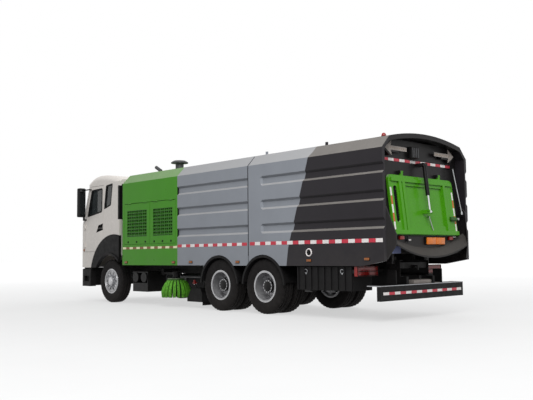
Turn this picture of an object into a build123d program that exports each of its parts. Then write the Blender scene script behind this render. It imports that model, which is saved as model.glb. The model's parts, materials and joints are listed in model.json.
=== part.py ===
import math
import os

from build123d import *

os.makedirs("parts", exist_ok=True)

# Sizes are in millimetres. +X is forward, +Y is the truck's left, +Z is up, the road is at Z = 0.

# Stations along the truck
REAR_EDGE = -4795.0
LIP_X = REAR_EDGE - 102.0
SEAM = -1555.0
SEAM_GAP = 30.0
TANK_FRONT = 745.0
MODULE_FRONT = 2925.0
CAB_BACK = 3155.0
CAB_FRONT = 5040.0
BUMPER_FRONT = 5075.0
MIDDLE = (BUMPER_FRONT + LIP_X) / 2
AXLE_FRONT = 3605.0
AXLE_MID = -635.0
AXLE_REAR = -1935.0

# Body cross-section
HALF_WIDTH = 1275.0
WALL = 70.0
SKIRT = 915.0
TAIL_Z = 996.0
KNEE = 2850.0
BEVEL = 205.0
EDGE_Y = HALF_WIDTH - BEVEL
EDGE_Z = 3060.0
CROWN = 3115.0
VISOR_CROWN = 3180.0
INSIDE = HALF_WIDTH - WALL
INNER_KNEE = KNEE - 14.0
INNER_EDGE = EDGE_Z - 86.0
INNER_CROWN = CROWN - 60.0
CHANNEL_ROWS = (1615.0, 2070.0, 2525.0)
CHANNEL_OPEN = 185.0
CHANNEL_DEPTH = 40.0

# Chassis
RAIL_OUT = 430.0
RAIL_IN = 345.0
RAIL_LOW = 720.0
RAIL_TOP = 1000.0
RAIL_WEB = 8.0
RAIL_REAR = -4480.0
RAIL_FRONT = 4700.0
SILL_TOP = 1100.0
SILL_REAR = -4200.0
TOW_X = -4515.0
TOW_Z = 875.0
TOW_BORE = 20.0
TOW_PLATE = 30.0

# Wheels
TYRE_R = 522.0
TYRE_HALF = 140.0
TYRE_SIDES = 48
BEAD_HALF = 113.0
SHOULDER = 25.0
BEAD_R = 285.0
RIM_IN = 262.0
FLANGE_R = 300.0
FRONT_HUB = 110.0
REAR_HUB = 120.0
DRUM_R = 205.0
SPINDLE_R = 35.0
STUB_R = 55.0
FRONT_TRACK = 1030.0
DUAL_IN = 765.0
DUAL_OUT = 1095.0
KINGPIN_Y = 880.0
ARCH_CUT = 600.0

# Hopper tipping gear
TIP_X = -4345.0
TIP_Z = 1000.0
TIP_PIN = 30.0
RAM_FOOT = (-3600.0, 800.0)
RAM_EYE = (-2300.0, 1055.0)
FLOOR_LOW = 1110.0
FLOOR_TOP = 1160.0

# Rear door
DOOR_LOW = 1425.0
DOOR_TOP = 2440.0
DOOR_HALF = 960.0
DOOR_LOW_X = REAR_EDGE + 16.0
DOOR_TOP_X = REAR_EDGE + 137.0
DOOR_THICK = 45.0
LEAN = (DOOR_TOP_X - DOOR_LOW_X) / (DOOR_TOP - DOOR_LOW)
LIP_HALF = 1090.0
CHUTE_EDGE = 1490.0
CHUTE_MID = 1217.0
CHUTE_DROP = 150.0
CHUTE_PLATE = 30.0
CHEEK = 30.0
HINGE_X = REAR_EDGE + 149.0
HINGE_Z = 2500.0
LATCH_TOP = (REAR_EDGE + 60.0, 2660.0)
LATCH_EYE = (REAR_EDGE - 30.0, 1835.0)
CHEEK_TOP = 1868.0
CHEEK_TIP = 1430.0

# Cab
CAB_HALF = 1225.0
CAB_WALL = 60.0
CAB_CORNER = 200.0
CAB_FLOOR = 1150.0
CAB_LOW = 850.0
CAB_EAVE = 2950.0
BELT = 1960.0
SCREEN_LOW = BELT + 60.0
SCREEN_TOP = CAB_EAVE - 80.0
SCREEN_HALF = 1090.0
ROOF_FRONT = 4700.0
ROOF_PEAK = 4130.0
ROOF_RISE = 215.0
ROOF_BACK_RISE = 50.0
ARCH_X = 3405.0
ARCH_Z = 580.0
ARCH_R = 1080.0
OPENING_R = 650.0
DOOR_REAR = 3885.0
DOOR_FRONT = 4770.0
CAB_DOOR_LOW = 1250.0
CAB_DOOR_TOP = CAB_EAVE - 60.0
TILT_X = 5000.0
TILT_Z = 860.0

# Side brushes
BRUSH_X = 1205.0
BRUSH_Y = 960.0
ARM_X = 1900.0
ARM_Y = 800.0
TUFTS = 20

# Roof fittings of the engine module
STACK = (1700.0, 500.0)
STACK_R = 96.0
STACK_TOP = 3285.0
EXHAUST = (1913.0, 900.0)
EXHAUST_R = 40.0

# Running clearance at pins, and the half width of a cut through the whole truck
CLEAR = 0.05
THROUGH = 1300.0


def ccw(points):
    area = 0.0
    for (ax, ay), (bx, by) in zip(points, points[1:] + points[:1]):
        area += ax * by - bx * ay
    return points if area > 0 else points[::-1]


def block(x0, x1, y0, y1, z0, z1, mode=Mode.ADD):
    with Locations(((x0 + x1) / 2, (y0 + y1) / 2, (z0 + z1) / 2)):
        Box(x1 - x0, y1 - y0, z1 - z0, mode=mode)


def pair(x0, x1, y0, y1, z0, z1, mode=Mode.ADD):
    block(x0, x1, y0, y1, z0, z1, mode)
    block(x0, x1, -y1, -y0, z0, z1, mode)


def side_block(side, x0, x1, y0, y1, z0, z1, mode=Mode.ADD):
    low, high = sorted((side * y0, side * y1))
    block(x0, x1, low, high, z0, z1, mode)


def prism_x(points, x0, x1, mode=Mode.ADD):
    with BuildSketch(Plane(origin=(x0, 0, 0), x_dir=(0, 1, 0), z_dir=(1, 0, 0))) as outline:
        Polygon(*ccw(points), align=None)
    extrude(outline.sketch, amount=x1 - x0, mode=mode)


def prism_y(points, y0, y1, mode=Mode.ADD):
    with BuildSketch(Plane(origin=(0, y1, 0), x_dir=(1, 0, 0), z_dir=(0, -1, 0))) as outline:
        Polygon(*ccw(points), align=None)
    extrude(outline.sketch, amount=y1 - y0, mode=mode)


def side_prism_y(side, points, y0, y1, mode=Mode.ADD):
    low, high = sorted((side * y0, side * y1))
    prism_y(points, low, high, mode)


def prism_z(points, z0, z1, mode=Mode.ADD):
    with BuildSketch(Plane.XY.offset(z0)) as outline:
        Polygon(*ccw(points), align=None)
    extrude(outline.sketch, amount=z1 - z0, mode=mode)


def bar_x(y, z, r, x0, x1, mode=Mode.ADD):
    with Locations(Location(((x0 + x1) / 2, y, z), (0, 90, 0))):
        Cylinder(r, x1 - x0, mode=mode)


def bar_y(x, z, r, y0, y1, mode=Mode.ADD):
    with Locations(Location((x, (y0 + y1) / 2, z), (90, 0, 0))):
        Cylinder(r, y1 - y0, mode=mode)


def pair_bar_y(x, z, r, y0, y1, mode=Mode.ADD):
    bar_y(x, z, r, y0, y1, mode)
    bar_y(x, z, r, -y1, -y0, mode)


def bar_z(x, y, r, z0, z1, mode=Mode.ADD):
    with Locations((x, y, (z0 + z1) / 2)):
        Cylinder(r, z1 - z0, mode=mode)


def pair_bar_z(x, y, r, z0, z1, mode=Mode.ADD):
    bar_z(x, y, r, z0, z1, mode)
    bar_z(x, -y, r, z0, z1, mode)


def bar_slant(foot, eye, r, s0, s1, mode=Mode.ADD):
    length = math.hypot(eye[0] - foot[0], eye[1] - foot[1])
    ux = (eye[0] - foot[0]) / length
    uz = (eye[1] - foot[1]) / length
    with BuildSketch(Plane(origin=(foot[0] + s0 * ux, 0, foot[1] + s0 * uz), z_dir=(ux, 0, uz))) as disc:
        Circle(r)
    extrude(disc.sketch, amount=s1 - s0, mode=mode)


def turned_y(x, z, profile, mode=Mode.ADD):
    with BuildSketch(Plane.XY.offset(z)) as half:
        Polygon(*ccw([(x + r, y) for r, y in profile]), align=None)
    revolve(half.sketch, axis=Axis((x, 0, z), (0, 1, 0)), mode=mode)


def turned_z(x, y, profile, mode=Mode.ADD):
    with BuildSketch(Plane(origin=(x, y, 0), x_dir=(1, 0, 0), z_dir=(0, -1, 0))) as half:
        Polygon(*ccw(list(profile)), align=None)
    revolve(half.sketch, axis=Axis((x, y, 0), (0, 0, 1)), mode=mode)


def hull_x(x0, x1, side, knee, edge, crown, low, mode=Mode.ADD):
    with BuildSketch(Plane(origin=(x0, 0, 0), x_dir=(0, 1, 0), z_dir=(1, 0, 0))) as outline:
        with BuildLine():
            Polyline((-EDGE_Y, edge), (-side, knee), (-side, low), (side, low), (side, knee), (EDGE_Y, edge))
            ThreePointArc((EDGE_Y, edge), (0, crown), (-EDGE_Y, edge))
        make_face()
    extrude(outline.sketch, amount=x1 - x0, mode=mode)


def vault_x(x0, x1, edge_low, crown_low, edge, crown, mode=Mode.ADD):
    with BuildSketch(Plane(origin=(x0, 0, 0), x_dir=(0, 1, 0), z_dir=(1, 0, 0))) as outline:
        with BuildLine():
            Line((-EDGE_Y, edge), (-EDGE_Y, edge_low))
            ThreePointArc((-EDGE_Y, edge_low), (0, crown_low), (EDGE_Y, edge_low))
            Line((EDGE_Y, edge_low), (EDGE_Y, edge))
            ThreePointArc((EDGE_Y, edge), (0, crown), (-EDGE_Y, edge))
        make_face()
    extrude(outline.sketch, amount=x1 - x0, mode=mode)


def arc_band(x, r_in, r_out, floor_z, y0, y1):
    with BuildSketch(Plane(origin=(0, y1, 0), x_dir=(1, 0, 0), z_dir=(0, -1, 0))) as ring:
        with Locations((x, TYRE_R)):
            Circle(r_out)
            Circle(r_in, mode=Mode.SUBTRACT)
        with Locations((x, floor_z - r_out)):
            Rectangle(4 * r_out, 2 * r_out, mode=Mode.SUBTRACT)
    extrude(ring.sketch, amount=y1 - y0)


def channel_section(side, row, depth):
    half = CHANNEL_OPEN / 2 - CHANNEL_DEPTH + depth
    return [
        (side * (HALF_WIDTH + 5), row - half - 5),
        (side * (HALF_WIDTH - depth), row - half + depth),
        (side * (HALF_WIDTH - depth), row + half - depth),
        (side * (HALF_WIDTH + 5), row + half + 5),
    ]


def channels(side, x0, x1):
    for row in CHANNEL_ROWS:
        prism_x(channel_section(side, row, CHANNEL_DEPTH), x0, x1, Mode.SUBTRACT)


def channel_ends(side, x0, x1):
    for row in CHANNEL_ROWS:
        sections = []
        for x, depth in ((x0, CHANNEL_DEPTH), (x1, 1.0)):
            with BuildSketch(Plane(origin=(x, 0, 0), x_dir=(0, 1, 0), z_dir=(1, 0, 0))) as outline:
                Polygon(*ccw(channel_section(side, row, depth)), align=None)
            sections.append(outline.sketch)
        loft(sections, ruled=True, mode=Mode.SUBTRACT)


def wheel_arch(side, x, r):
    low, high = sorted((side * 600.0, side * (HALF_WIDTH + 20)))
    bar_y(x, TYRE_R, r, low, high, Mode.SUBTRACT)


def tyre_outline(x, y, radius):
    with BuildSketch(Plane(origin=(x, y, TYRE_R), x_dir=(1, 0, 0), z_dir=(0, -1, 0))) as outline:
        RegularPolygon(radius, TYRE_SIDES, major_radius=False, rotation=180 / TYRE_SIDES)
    return outline.sketch


def tyre_ring(x, mid):
    extrude(tyre_outline(x, mid + TYRE_HALF, TYRE_R), amount=2 * TYRE_HALF)
    extrude(tyre_outline(x, mid + TYRE_HALF, BEAD_R + 0.3), amount=2 * TYRE_HALF, mode=Mode.SUBTRACT)
    for flank in (1, -1):
        bead = tyre_outline(x, mid + flank * BEAD_HALF, BEAD_R + 0.3)
        shoulder = tyre_outline(x, mid + flank * TYRE_HALF, TYRE_R - SHOULDER)
        loft([bead, shoulder], ruled=True, mode=Mode.SUBTRACT)


def hand_holes(x, ring_r, hole_r, y0, y1):
    for count in range(10):
        angle = math.radians(36.0 * count)
        bar_y(x + ring_r * math.cos(angle), TYRE_R + ring_r * math.sin(angle), hole_r, y0, y1, Mode.SUBTRACT)


def save(piece, name):
    placed = piece.part.moved(Location((-MIDDLE, 0, 0)))
    placed.label = name
    export_step(placed, "parts/" + name + ".step")


# Ladder frame: two inward C rails, crossmembers, body sills, spring hangers and pivot lugs
CROSSMEMBERS = (-4420.0, -1285.0, 0.0, 1300.0, 2450.0, 4660.0)
with BuildPart() as chassis_frame:
    pair(RAIL_REAR, RAIL_FRONT, RAIL_OUT - RAIL_WEB, RAIL_OUT, RAIL_LOW, RAIL_TOP)
    pair(RAIL_REAR, RAIL_FRONT, RAIL_IN, RAIL_OUT, RAIL_TOP - RAIL_WEB, RAIL_TOP)
    pair(RAIL_REAR, RAIL_FRONT, RAIL_IN, RAIL_OUT, RAIL_LOW, RAIL_LOW + RAIL_WEB)
    pair(SILL_REAR, MODULE_FRONT - 25, RAIL_IN, RAIL_OUT, RAIL_TOP, SILL_TOP)
    for station in CROSSMEMBERS:
        block(station - 30, station + 30, -RAIL_OUT + 4, RAIL_OUT - 4, 860, 960)
    # Foot of the tipping ram
    block(-3740, -3660, -RAIL_OUT + 4, RAIL_OUT - 4, 740, 960)
    pair(-3665, -3560, 45, 70, 760, 840)
    bar_y(RAM_FOOT[0], RAM_FOOT[1], 20, -70, 70)
    # Hopper pivot lugs with their pins
    pair(TIP_X - 60, TIP_X + 60, RAIL_OUT - 4, RAIL_OUT + 40, 900, 1060)
    pair_bar_y(TIP_X, TIP_Z, TIP_PIN, RAIL_OUT, 565)
    # Lamp bar and tow lug
    pair(REAR_EDGE + 650, REAR_EDGE + 690, RAIL_OUT - 4, 1246, 790, 850)
    block(TOW_X - 40, TOW_X + 70, -TOW_PLATE / 2, TOW_PLATE / 2, TOW_Z - 45, TOW_Z + 40)
    bar_y(TOW_X, TOW_Z, TOW_BORE, -TOW_PLATE, TOW_PLATE, Mode.SUBTRACT)
    # Front spring hangers, rear spring seats
    pair(2875, 2935, RAIL_IN, RAIL_OUT, 640, RAIL_LOW)
    pair(4275, 4335, RAIL_IN, RAIL_OUT, 640, RAIL_LOW)
    pair(-1385, -1185, RAIL_IN, RAIL_OUT, 540, RAIL_LOW)
    pair(-1385, -1185, RAIL_OUT, 565, 540, 640)
    # Brush arm brackets with their pins
    pair(ARM_X - 45, ARM_X + 45, RAIL_OUT - 4, ARM_Y + 45, 775, 825)
    for side in (1, -1):
        bar_z(ARM_X, side * ARM_Y, 25, 680, 780)
save(chassis_frame, "chassis_frame")

# Front axle beam with kingpin bosses
with BuildPart() as front_axle:
    block(AXLE_FRONT - 40, AXLE_FRONT + 40, -790, 790, 440, 500)
    pair(AXLE_FRONT - 35, AXLE_FRONT + 35, 700, 850, 475, 570)
    pair(AXLE_FRONT - 60, AXLE_FRONT + 60, RAIL_IN, RAIL_OUT, 495, 560)
    for side in (1, -1):
        bar_z(AXLE_FRONT, side * KINGPIN_Y, 45, 470, 575)
        bar_z(AXLE_FRONT, side * KINGPIN_Y, 25 + CLEAR, 460, 585, Mode.SUBTRACT)
save(front_axle, "front_axle")

# Steering knuckles: forked lugs, kingpin and wheel spindle
for side, name in ((1, "knuckle_left"), (-1, "knuckle_right")):
    with BuildPart() as knuckle:
        side_block(side, AXLE_FRONT - 50, AXLE_FRONT + 50, 842, 1000, 585, 625)
        side_block(side, AXLE_FRONT - 50, AXLE_FRONT + 50, 842, 1000, 420, 460)
        side_block(side, AXLE_FRONT - 50, AXLE_FRONT + 50, 955, 1000, 420, 625)
        bar_z(AXLE_FRONT, side * KINGPIN_Y, 25, 420, 625)
        low, high = sorted((side * 995.0, side * 1150.0))
        bar_y(AXLE_FRONT, TYRE_R, SPINDLE_R, low, high)
    save(knuckle, name)

# Driven axles: tubes, differential and spring pads
with BuildPart() as rear_axles:
    for station in (AXLE_MID, AXLE_REAR):
        bar_y(station, TYRE_R, 75, -620, 620)
        bar_y(station, TYRE_R, STUB_R, -1000, 1000)
        bar_x(0, TYRE_R + 40, 190, station - 140, station + 140)
        pair(station - 60, station + 60, 470, 560, 560, 600)
    bar_x(0, 640, 80, AXLE_MID - 230, AXLE_MID + 230)
    bar_x(0, 640, 80, AXLE_REAR, AXLE_REAR + 230)
save(rear_axles, "rear_axles")

# Leaf springs
FRONT_LEAF = [
    (2905, 690), (2905, 645), (3505, 560), (3705, 560),
    (4305, 645), (4305, 690), (3705, 605), (3505, 605),
]
REAR_LEAF = [
    (-2010, 600), (-1860, 600), (-1385, 640), (-1185, 640),
    (-710, 600), (-560, 600), (-560, 640), (-1185, 715), (-1385, 715), (-2010, 640),
]
with BuildPart() as leaf_springs:
    for side in (1, -1):
        side_prism_y(side, FRONT_LEAF, RAIL_IN + 5, RAIL_OUT - 5)
        side_prism_y(side, REAR_LEAF, 470, 560)
    pair(2875, 2935, RAIL_IN, RAIL_OUT, 640, RAIL_LOW, Mode.SUBTRACT)
    pair(4275, 4335, RAIL_IN, RAIL_OUT, 640, RAIL_LOW, Mode.SUBTRACT)
save(leaf_springs, "leaf_springs")

# Engine with gearbox, and the propeller shafts behind it
with BuildPart() as driveline:
    block(3350, 4450, -290, 290, 570, 1130)
    block(2600, 3350, -200, 200, 540, 900)
    pair(3500, 3620, 285, RAIL_OUT - RAIL_WEB, 780, 860)
    pair(4200, 4320, 285, RAIL_OUT - RAIL_WEB, 780, 860)
    bar_x(0, 640, 45, AXLE_MID + 230, 2600)
    bar_x(0, 640, 45, AXLE_REAR + 230, AXLE_MID - 230)
save(driveline, "driveline")

# Air reservoirs over a tool box on the left, fuel tank on the right
with BuildPart() as side_tanks:
    for station in (2245.0, 2585.0):
        bar_y(station, 630, 115, 640, 1130)
    block(2110, 2720, RAIL_OUT, 1110, 735, 760)
    block(2110, 2130, 600, 1110, 300, 745)
    block(2700, 2720, 600, 1110, 300, 745)
    block(2110, 2720, 600, 1110, 300, 500)
    block(2020, 2760, -1180, -560, 320, 790)
    block(2150, 2230, -565, -RAIL_OUT, 730, 780)
    block(2550, 2630, -565, -RAIL_OUT, 730, 780)
save(side_tanks, "side_tanks")

# Lockers behind the rear wheels with upright ribs
with BuildPart() as side_lockers:
    pair(-4085, -2795, 700, 1215, 490, 900)
    for count in range(9):
        rib = -4060 + count * 155.0
        pair(rib - 15, rib + 15, 1215, 1232, 500, 890)
    pair(-3900, -3800, RAIL_OUT, 700, 740, 800)
    pair(-3100, -3000, RAIL_OUT, 700, 740, 800)
save(side_lockers, "side_lockers")

# Mudguards over the paired rear wheels, each on a bracket to the rail
with BuildPart() as mudguards:
    for station in (AXLE_MID, AXLE_REAR):
        for side in (1, -1):
            low, high = sorted((side * 625.0, side * (HALF_WIDTH - 13)))
            arc_band(station, 548, 570, 600, low, high)
            low, high = sorted((side * (HALF_WIDTH - 30), side * (HALF_WIDTH + 6)))
            arc_band(station, 548, ARCH_CUT - 8, 560, low, high)
            side_block(side, station - 25, station + 25, RAIL_OUT, 640, 1075, 1090)
            side_block(side, station - 25, station + 25, RAIL_OUT, RAIL_OUT + 15, 940, 1090)
save(mudguards, "mudguards")

# Rear bumper with step plate and hangers
with BuildPart() as rear_bumper:
    block(REAR_EDGE + 120, REAR_EDGE + 200, -1230, 1230, 340, 578)
    block(REAR_EDGE + 120, REAR_EDGE + 400, -1230, 1230, 578, 590)
    pair(REAR_EDGE + 190, REAR_EDGE + 430, 360, 420, 360, RAIL_LOW)
    pair(REAR_EDGE + 210, REAR_EDGE + 395, 675, 695, 585, 840)
    pair(REAR_EDGE + 118, REAR_EDGE + 124, 300, 1215, 440, 480)
save(rear_bumper, "rear_bumper")

# Tail lamps on the lamp bar and head lamps in the bumper
HEADLAMP_IN = 640.0
HEADLAMP_OUT = 960.0
with BuildPart() as lamps:
    pair(REAR_EDGE + 587, REAR_EDGE + 650, 680, 1246, 742, 905)
    pair(BUMPER_FRONT - 45, BUMPER_FRONT - 5, HEADLAMP_IN, HEADLAMP_OUT, 560, 740)
save(lamps, "lamps")

# Front bumper, wrapped back to the wheel arches
with BuildPart() as front_bumper:
    block(4450, BUMPER_FRONT, -1240, 1240, 380, 815)
    fillet(front_bumper.edges().filter_by(Axis.Z).group_by(Axis.X)[-1], 300)
    block(4440, 4900, -1090, 1090, 370, 825, Mode.SUBTRACT)
    pair(BUMPER_FRONT - 45, BUMPER_FRONT + 10, HEADLAMP_IN, HEADLAMP_OUT, 560, 740, Mode.SUBTRACT)
    pair(4520, 4760, 1180, 1250, 500, 640, Mode.SUBTRACT)
    pair(RAIL_FRONT, 4905, RAIL_IN + 5, RAIL_OUT, 740, 810)
    # Cab tilt lugs with pins
    pair(TILT_X - 35, TILT_X + 35, 400, 430, 810, TILT_Z + 30)
    pair_bar_y(TILT_X, TILT_Z, 16, 400, 485)
save(front_bumper, "front_bumper")

# Engine module: hollow hood with door openings
MODULE_DOORS = (("front", 1805.0, 2835.0), ("rear", 815.0, 1775.0))
MODULE_DOOR_LOW = 1400.0
MODULE_DOOR_TOP = 2346.0
MODULE_WALL = 40.0
MODULE_INSIDE = HALF_WIDTH - MODULE_WALL
MODULE_FLOOR = SILL_TOP + 40.0
MODULE_HINGE_Y = HALF_WIDTH + 12.0
MODULE_HINGE_Z = MODULE_DOOR_TOP + 8.0
with BuildPart() as module_shell:
    hull_x(TANK_FRONT, MODULE_FRONT, HALF_WIDTH, KNEE, EDGE_Z, CROWN, SKIRT)
    hull_x(
        TANK_FRONT - 5, MODULE_FRONT - MODULE_WALL, MODULE_INSIDE, KNEE - 16, EDGE_Z - 57, CROWN - 50,
        MODULE_FLOOR, Mode.SUBTRACT)
    block(TANK_FRONT - 5, MODULE_FRONT + 5, -MODULE_INSIDE, MODULE_INSIDE, SKIRT - 5, SILL_TOP, Mode.SUBTRACT)
    for label, rear, front in MODULE_DOORS:
        out = HALF_WIDTH + 25
        block(rear - 6, front + 6, -out, out, MODULE_DOOR_LOW - 6, MODULE_DOOR_TOP + 12, Mode.SUBTRACT)
        for side in (1, -1):
            for station in (rear + 200, front - 200):
                low, high = station - 30, station + 30
                bar_x(side * MODULE_HINGE_Y, MODULE_HINGE_Z, 9, low - 70, low - 4)
                bar_x(side * MODULE_HINGE_Y, MODULE_HINGE_Z, 4, low - 10, high)
                plate_low, plate_high = MODULE_HINGE_Z + 5, MODULE_HINGE_Z + 9
                side_block(side, low - 70, low - 4, HALF_WIDTH - 5, MODULE_HINGE_Y, plate_low, plate_high)
    bar_z(STACK[0], STACK[1], STACK_R + 6, 2900, 3200, Mode.SUBTRACT)
    bar_z(EXHAUST[0], EXHAUST[1], EXHAUST_R + 6, 2900, 3200, Mode.SUBTRACT)
save(module_shell, "module_shell")

# Air intake duct on the front of the module, slotted near its top
DUCT_FRONT = MODULE_FRONT + 215.0
with BuildPart() as air_snorkel:
    block(MODULE_FRONT, DUCT_FRONT, HALF_WIDTH - 275, HALF_WIDTH - 85, 2050, KNEE + 20)
    fillet(air_snorkel.edges().filter_by(Axis.Z).group_by(Axis.X)[-1], 60)
    for row in range(5):
        base = KNEE - 330 + row * 60
        block(
            MODULE_FRONT + 40, DUCT_FRONT - 75, HALF_WIDTH - 100, HALF_WIDTH - 80, base, base + 30,
            Mode.SUBTRACT)
save(air_snorkel, "air_snorkel")

# Louvred module doors, hinged along their top edge
SLAT_ROWS = 8
GRILLE_LOW = 1582.0
GRILLE_TOP = 2178.0
for label, rear, front in MODULE_DOORS:
    for side, hand in ((1, "left"), (-1, "right")):
        with BuildPart() as module_door:
            side_block(side, rear, front, MODULE_INSIDE + 4, HALF_WIDTH, MODULE_DOOR_LOW, MODULE_DOOR_TOP)
            low, high = rear + 118, front - 118
            side_block(
                side, low, high, MODULE_INSIDE - 5, HALF_WIDTH + 10, GRILLE_LOW, GRILLE_TOP, Mode.SUBTRACT)
            slat_in, slat_out = side * (MODULE_INSIDE + 6), side * (HALF_WIDTH - 2)
            for row in range(SLAT_ROWS):
                base = GRILLE_LOW + row * (GRILLE_TOP - GRILLE_LOW) / SLAT_ROWS
                slat = [(slat_in, base + 44), (slat_in, base + 56), (slat_out, base + 22), (slat_out, base + 10)]
                prism_x(slat, low - 2, high + 2)
            for post in range(1, 5):
                centre = low + (high - low) * post / 5
                side_block(
                    side, centre - 12, centre + 12, MODULE_INSIDE + 6, HALF_WIDTH - 2,
                    GRILLE_LOW - 2, GRILLE_TOP + 2)
            for station in (rear + 200, front - 200):
                bar_x(side * MODULE_HINGE_Y, MODULE_HINGE_Z, 9, station - 30, station + 30)
                side_block(
                    side, station - 30, station + 30, HALF_WIDTH - 5, MODULE_HINGE_Y,
                    MODULE_DOOR_TOP - 8, MODULE_DOOR_TOP + 3)
                pin_hole = 4 + CLEAR
                bar_x(side * MODULE_HINGE_Y, MODULE_HINGE_Z, pin_hole, station - 35, station + 35, Mode.SUBTRACT)
        save(module_door, "module_door_" + label + "_" + hand)

# Auxiliary engine with its intake stack and exhaust through the roof
with BuildPart() as aux_engine:
    block(1300, 2600, -620, 620, MODULE_FLOOR, 1900)
    bar_z(STACK[0], STACK[1], STACK_R, 1890, STACK_TOP + 10)
    cap = [(0, 0), (200, 0), (200, 25), (140, 60), (0, 67)]
    turned_z(STACK[0], STACK[1], [(r, STACK_TOP + rise) for r, rise in cap])
    # Exhaust pipe with a slanted tail
    block(EXHAUST[0] - 33, EXHAUST[0] + 33, 600, EXHAUST[1] + 30, 1800, 1870)
    bar_z(EXHAUST[0], EXHAUST[1], EXHAUST_R, 1850, 3115)
    with BuildSketch(Plane(origin=(EXHAUST[0] - 26, EXHAUST[1], 3097), z_dir=(0.88, 0, 0.47))) as tail_pipe:
        Circle(EXHAUST_R)
    extrude(tail_pipe.sketch, amount=216)
save(aux_engine, "aux_engine")

# Water tank section with ribbed sides
with BuildPart() as water_tank:
    hull_x(SEAM + SEAM_GAP, TANK_FRONT, HALF_WIDTH, KNEE, EDGE_Z, CROWN, SKIRT)
    block(SEAM, TANK_FRONT + 5, -INSIDE, INSIDE, SKIRT - 5, SILL_TOP, Mode.SUBTRACT)
    for side in (1, -1):
        channels(side, SEAM, TANK_FRONT + 5)
        wheel_arch(side, AXLE_MID, ARCH_CUT)
        wheel_arch(side, AXLE_REAR, ARCH_CUT)
    # Suction sleeves and the hydrant fill bore
    for side in (1, -1):
        bar_z(450, side * 620, 150, 700, SILL_TOP + 5)
        bar_z(450, side * 620, 130, 695, SILL_TOP - 20, Mode.SUBTRACT)
    bar_y(300, 1200, 32.5, -HALF_WIDTH - 5, -HALF_WIDTH + 60, Mode.SUBTRACT)
save(water_tank, "water_tank")

# Suction nozzle across the truck with two pipes that slide in the sleeves
with BuildPart() as suction_nozzle:
    prism_y([(250, 130), (760, 130), (760, 200), (620, 420), (300, 420), (250, 330)], -1000, 1000)
    block(300, 710, -960, 960, 120, 330, Mode.SUBTRACT)
    for side in (1, -1):
        bar_z(450, side * 620, 130 - CLEAR, 415, 900)
        bar_z(450, side * 620, 110, 320, 910, Mode.SUBTRACT)
save(suction_nozzle, "suction_nozzle")

# Hopper side walls with ribs, wheel arches and sloped tail
with BuildPart() as hopper_sides:
    hull_x(REAR_EDGE, SEAM, HALF_WIDTH, KNEE, EDGE_Z, CROWN, SKIRT)
    hull_x(REAR_EDGE - 5, SEAM + 5, INSIDE, INNER_KNEE, INNER_EDGE, INNER_CROWN, SKIRT - 5, Mode.SUBTRACT)
    block(REAR_EDGE - 5, SEAM + 5, -EDGE_Y, EDGE_Y, 2900, 3300, Mode.SUBTRACT)
    tail = [
        (REAR_EDGE - 5, SKIRT - 5), (REAR_EDGE + 470, SKIRT - 5), (REAR_EDGE + 470, SKIRT),
        (REAR_EDGE - 5, TAIL_Z),
    ]
    prism_y(tail, -HALF_WIDTH - 5, HALF_WIDTH + 5, Mode.SUBTRACT)
    for side in (1, -1):
        channels(side, REAR_EDGE - 5, SEAM - 385)
        channel_ends(side, SEAM - 386, SEAM - 345)
        wheel_arch(side, AXLE_REAR, ARCH_CUT)
save(hopper_sides, "hopper_sides")

with BuildPart() as hopper_roof:
    vault_x(REAR_EDGE + 300, SEAM, INNER_EDGE, INNER_CROWN, EDGE_Z, CROWN)
    for station in (-3360.0, -1800.0):
        pair(station - 25, station + 25, 985, 1010, EDGE_Z - 20, CROWN + 12)
save(hopper_roof, "hopper_roof")

# Hopper floor and front wall, pivot ears and ram lugs
with BuildPart() as hopper_tub:
    block(REAR_EDGE + 240, SEAM, -INSIDE, INSIDE, FLOOR_LOW, FLOOR_TOP)
    hull_x(SEAM - 60, SEAM, INSIDE, INNER_KNEE, INNER_EDGE, INNER_CROWN, FLOOR_LOW)
    pair(TIP_X - 60, TIP_X + 60, 482, 552, 940, FLOOR_LOW + 5)
    pair_bar_y(TIP_X, TIP_Z, TIP_PIN + CLEAR, 470, 560, Mode.SUBTRACT)
    pair(RAM_EYE[0] - 45, RAM_EYE[0] + 45, 45, 65, 1010, FLOOR_LOW + 5)
    pair_bar_y(RAM_EYE[0], RAM_EYE[1], 20, 40, 70, Mode.SUBTRACT)
save(hopper_tub, "hopper_tub")


def jamb_x(z):
    return DOOR_LOW_X + (z - DOOR_LOW) * LEAN + DOOR_THICK + 8


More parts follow.
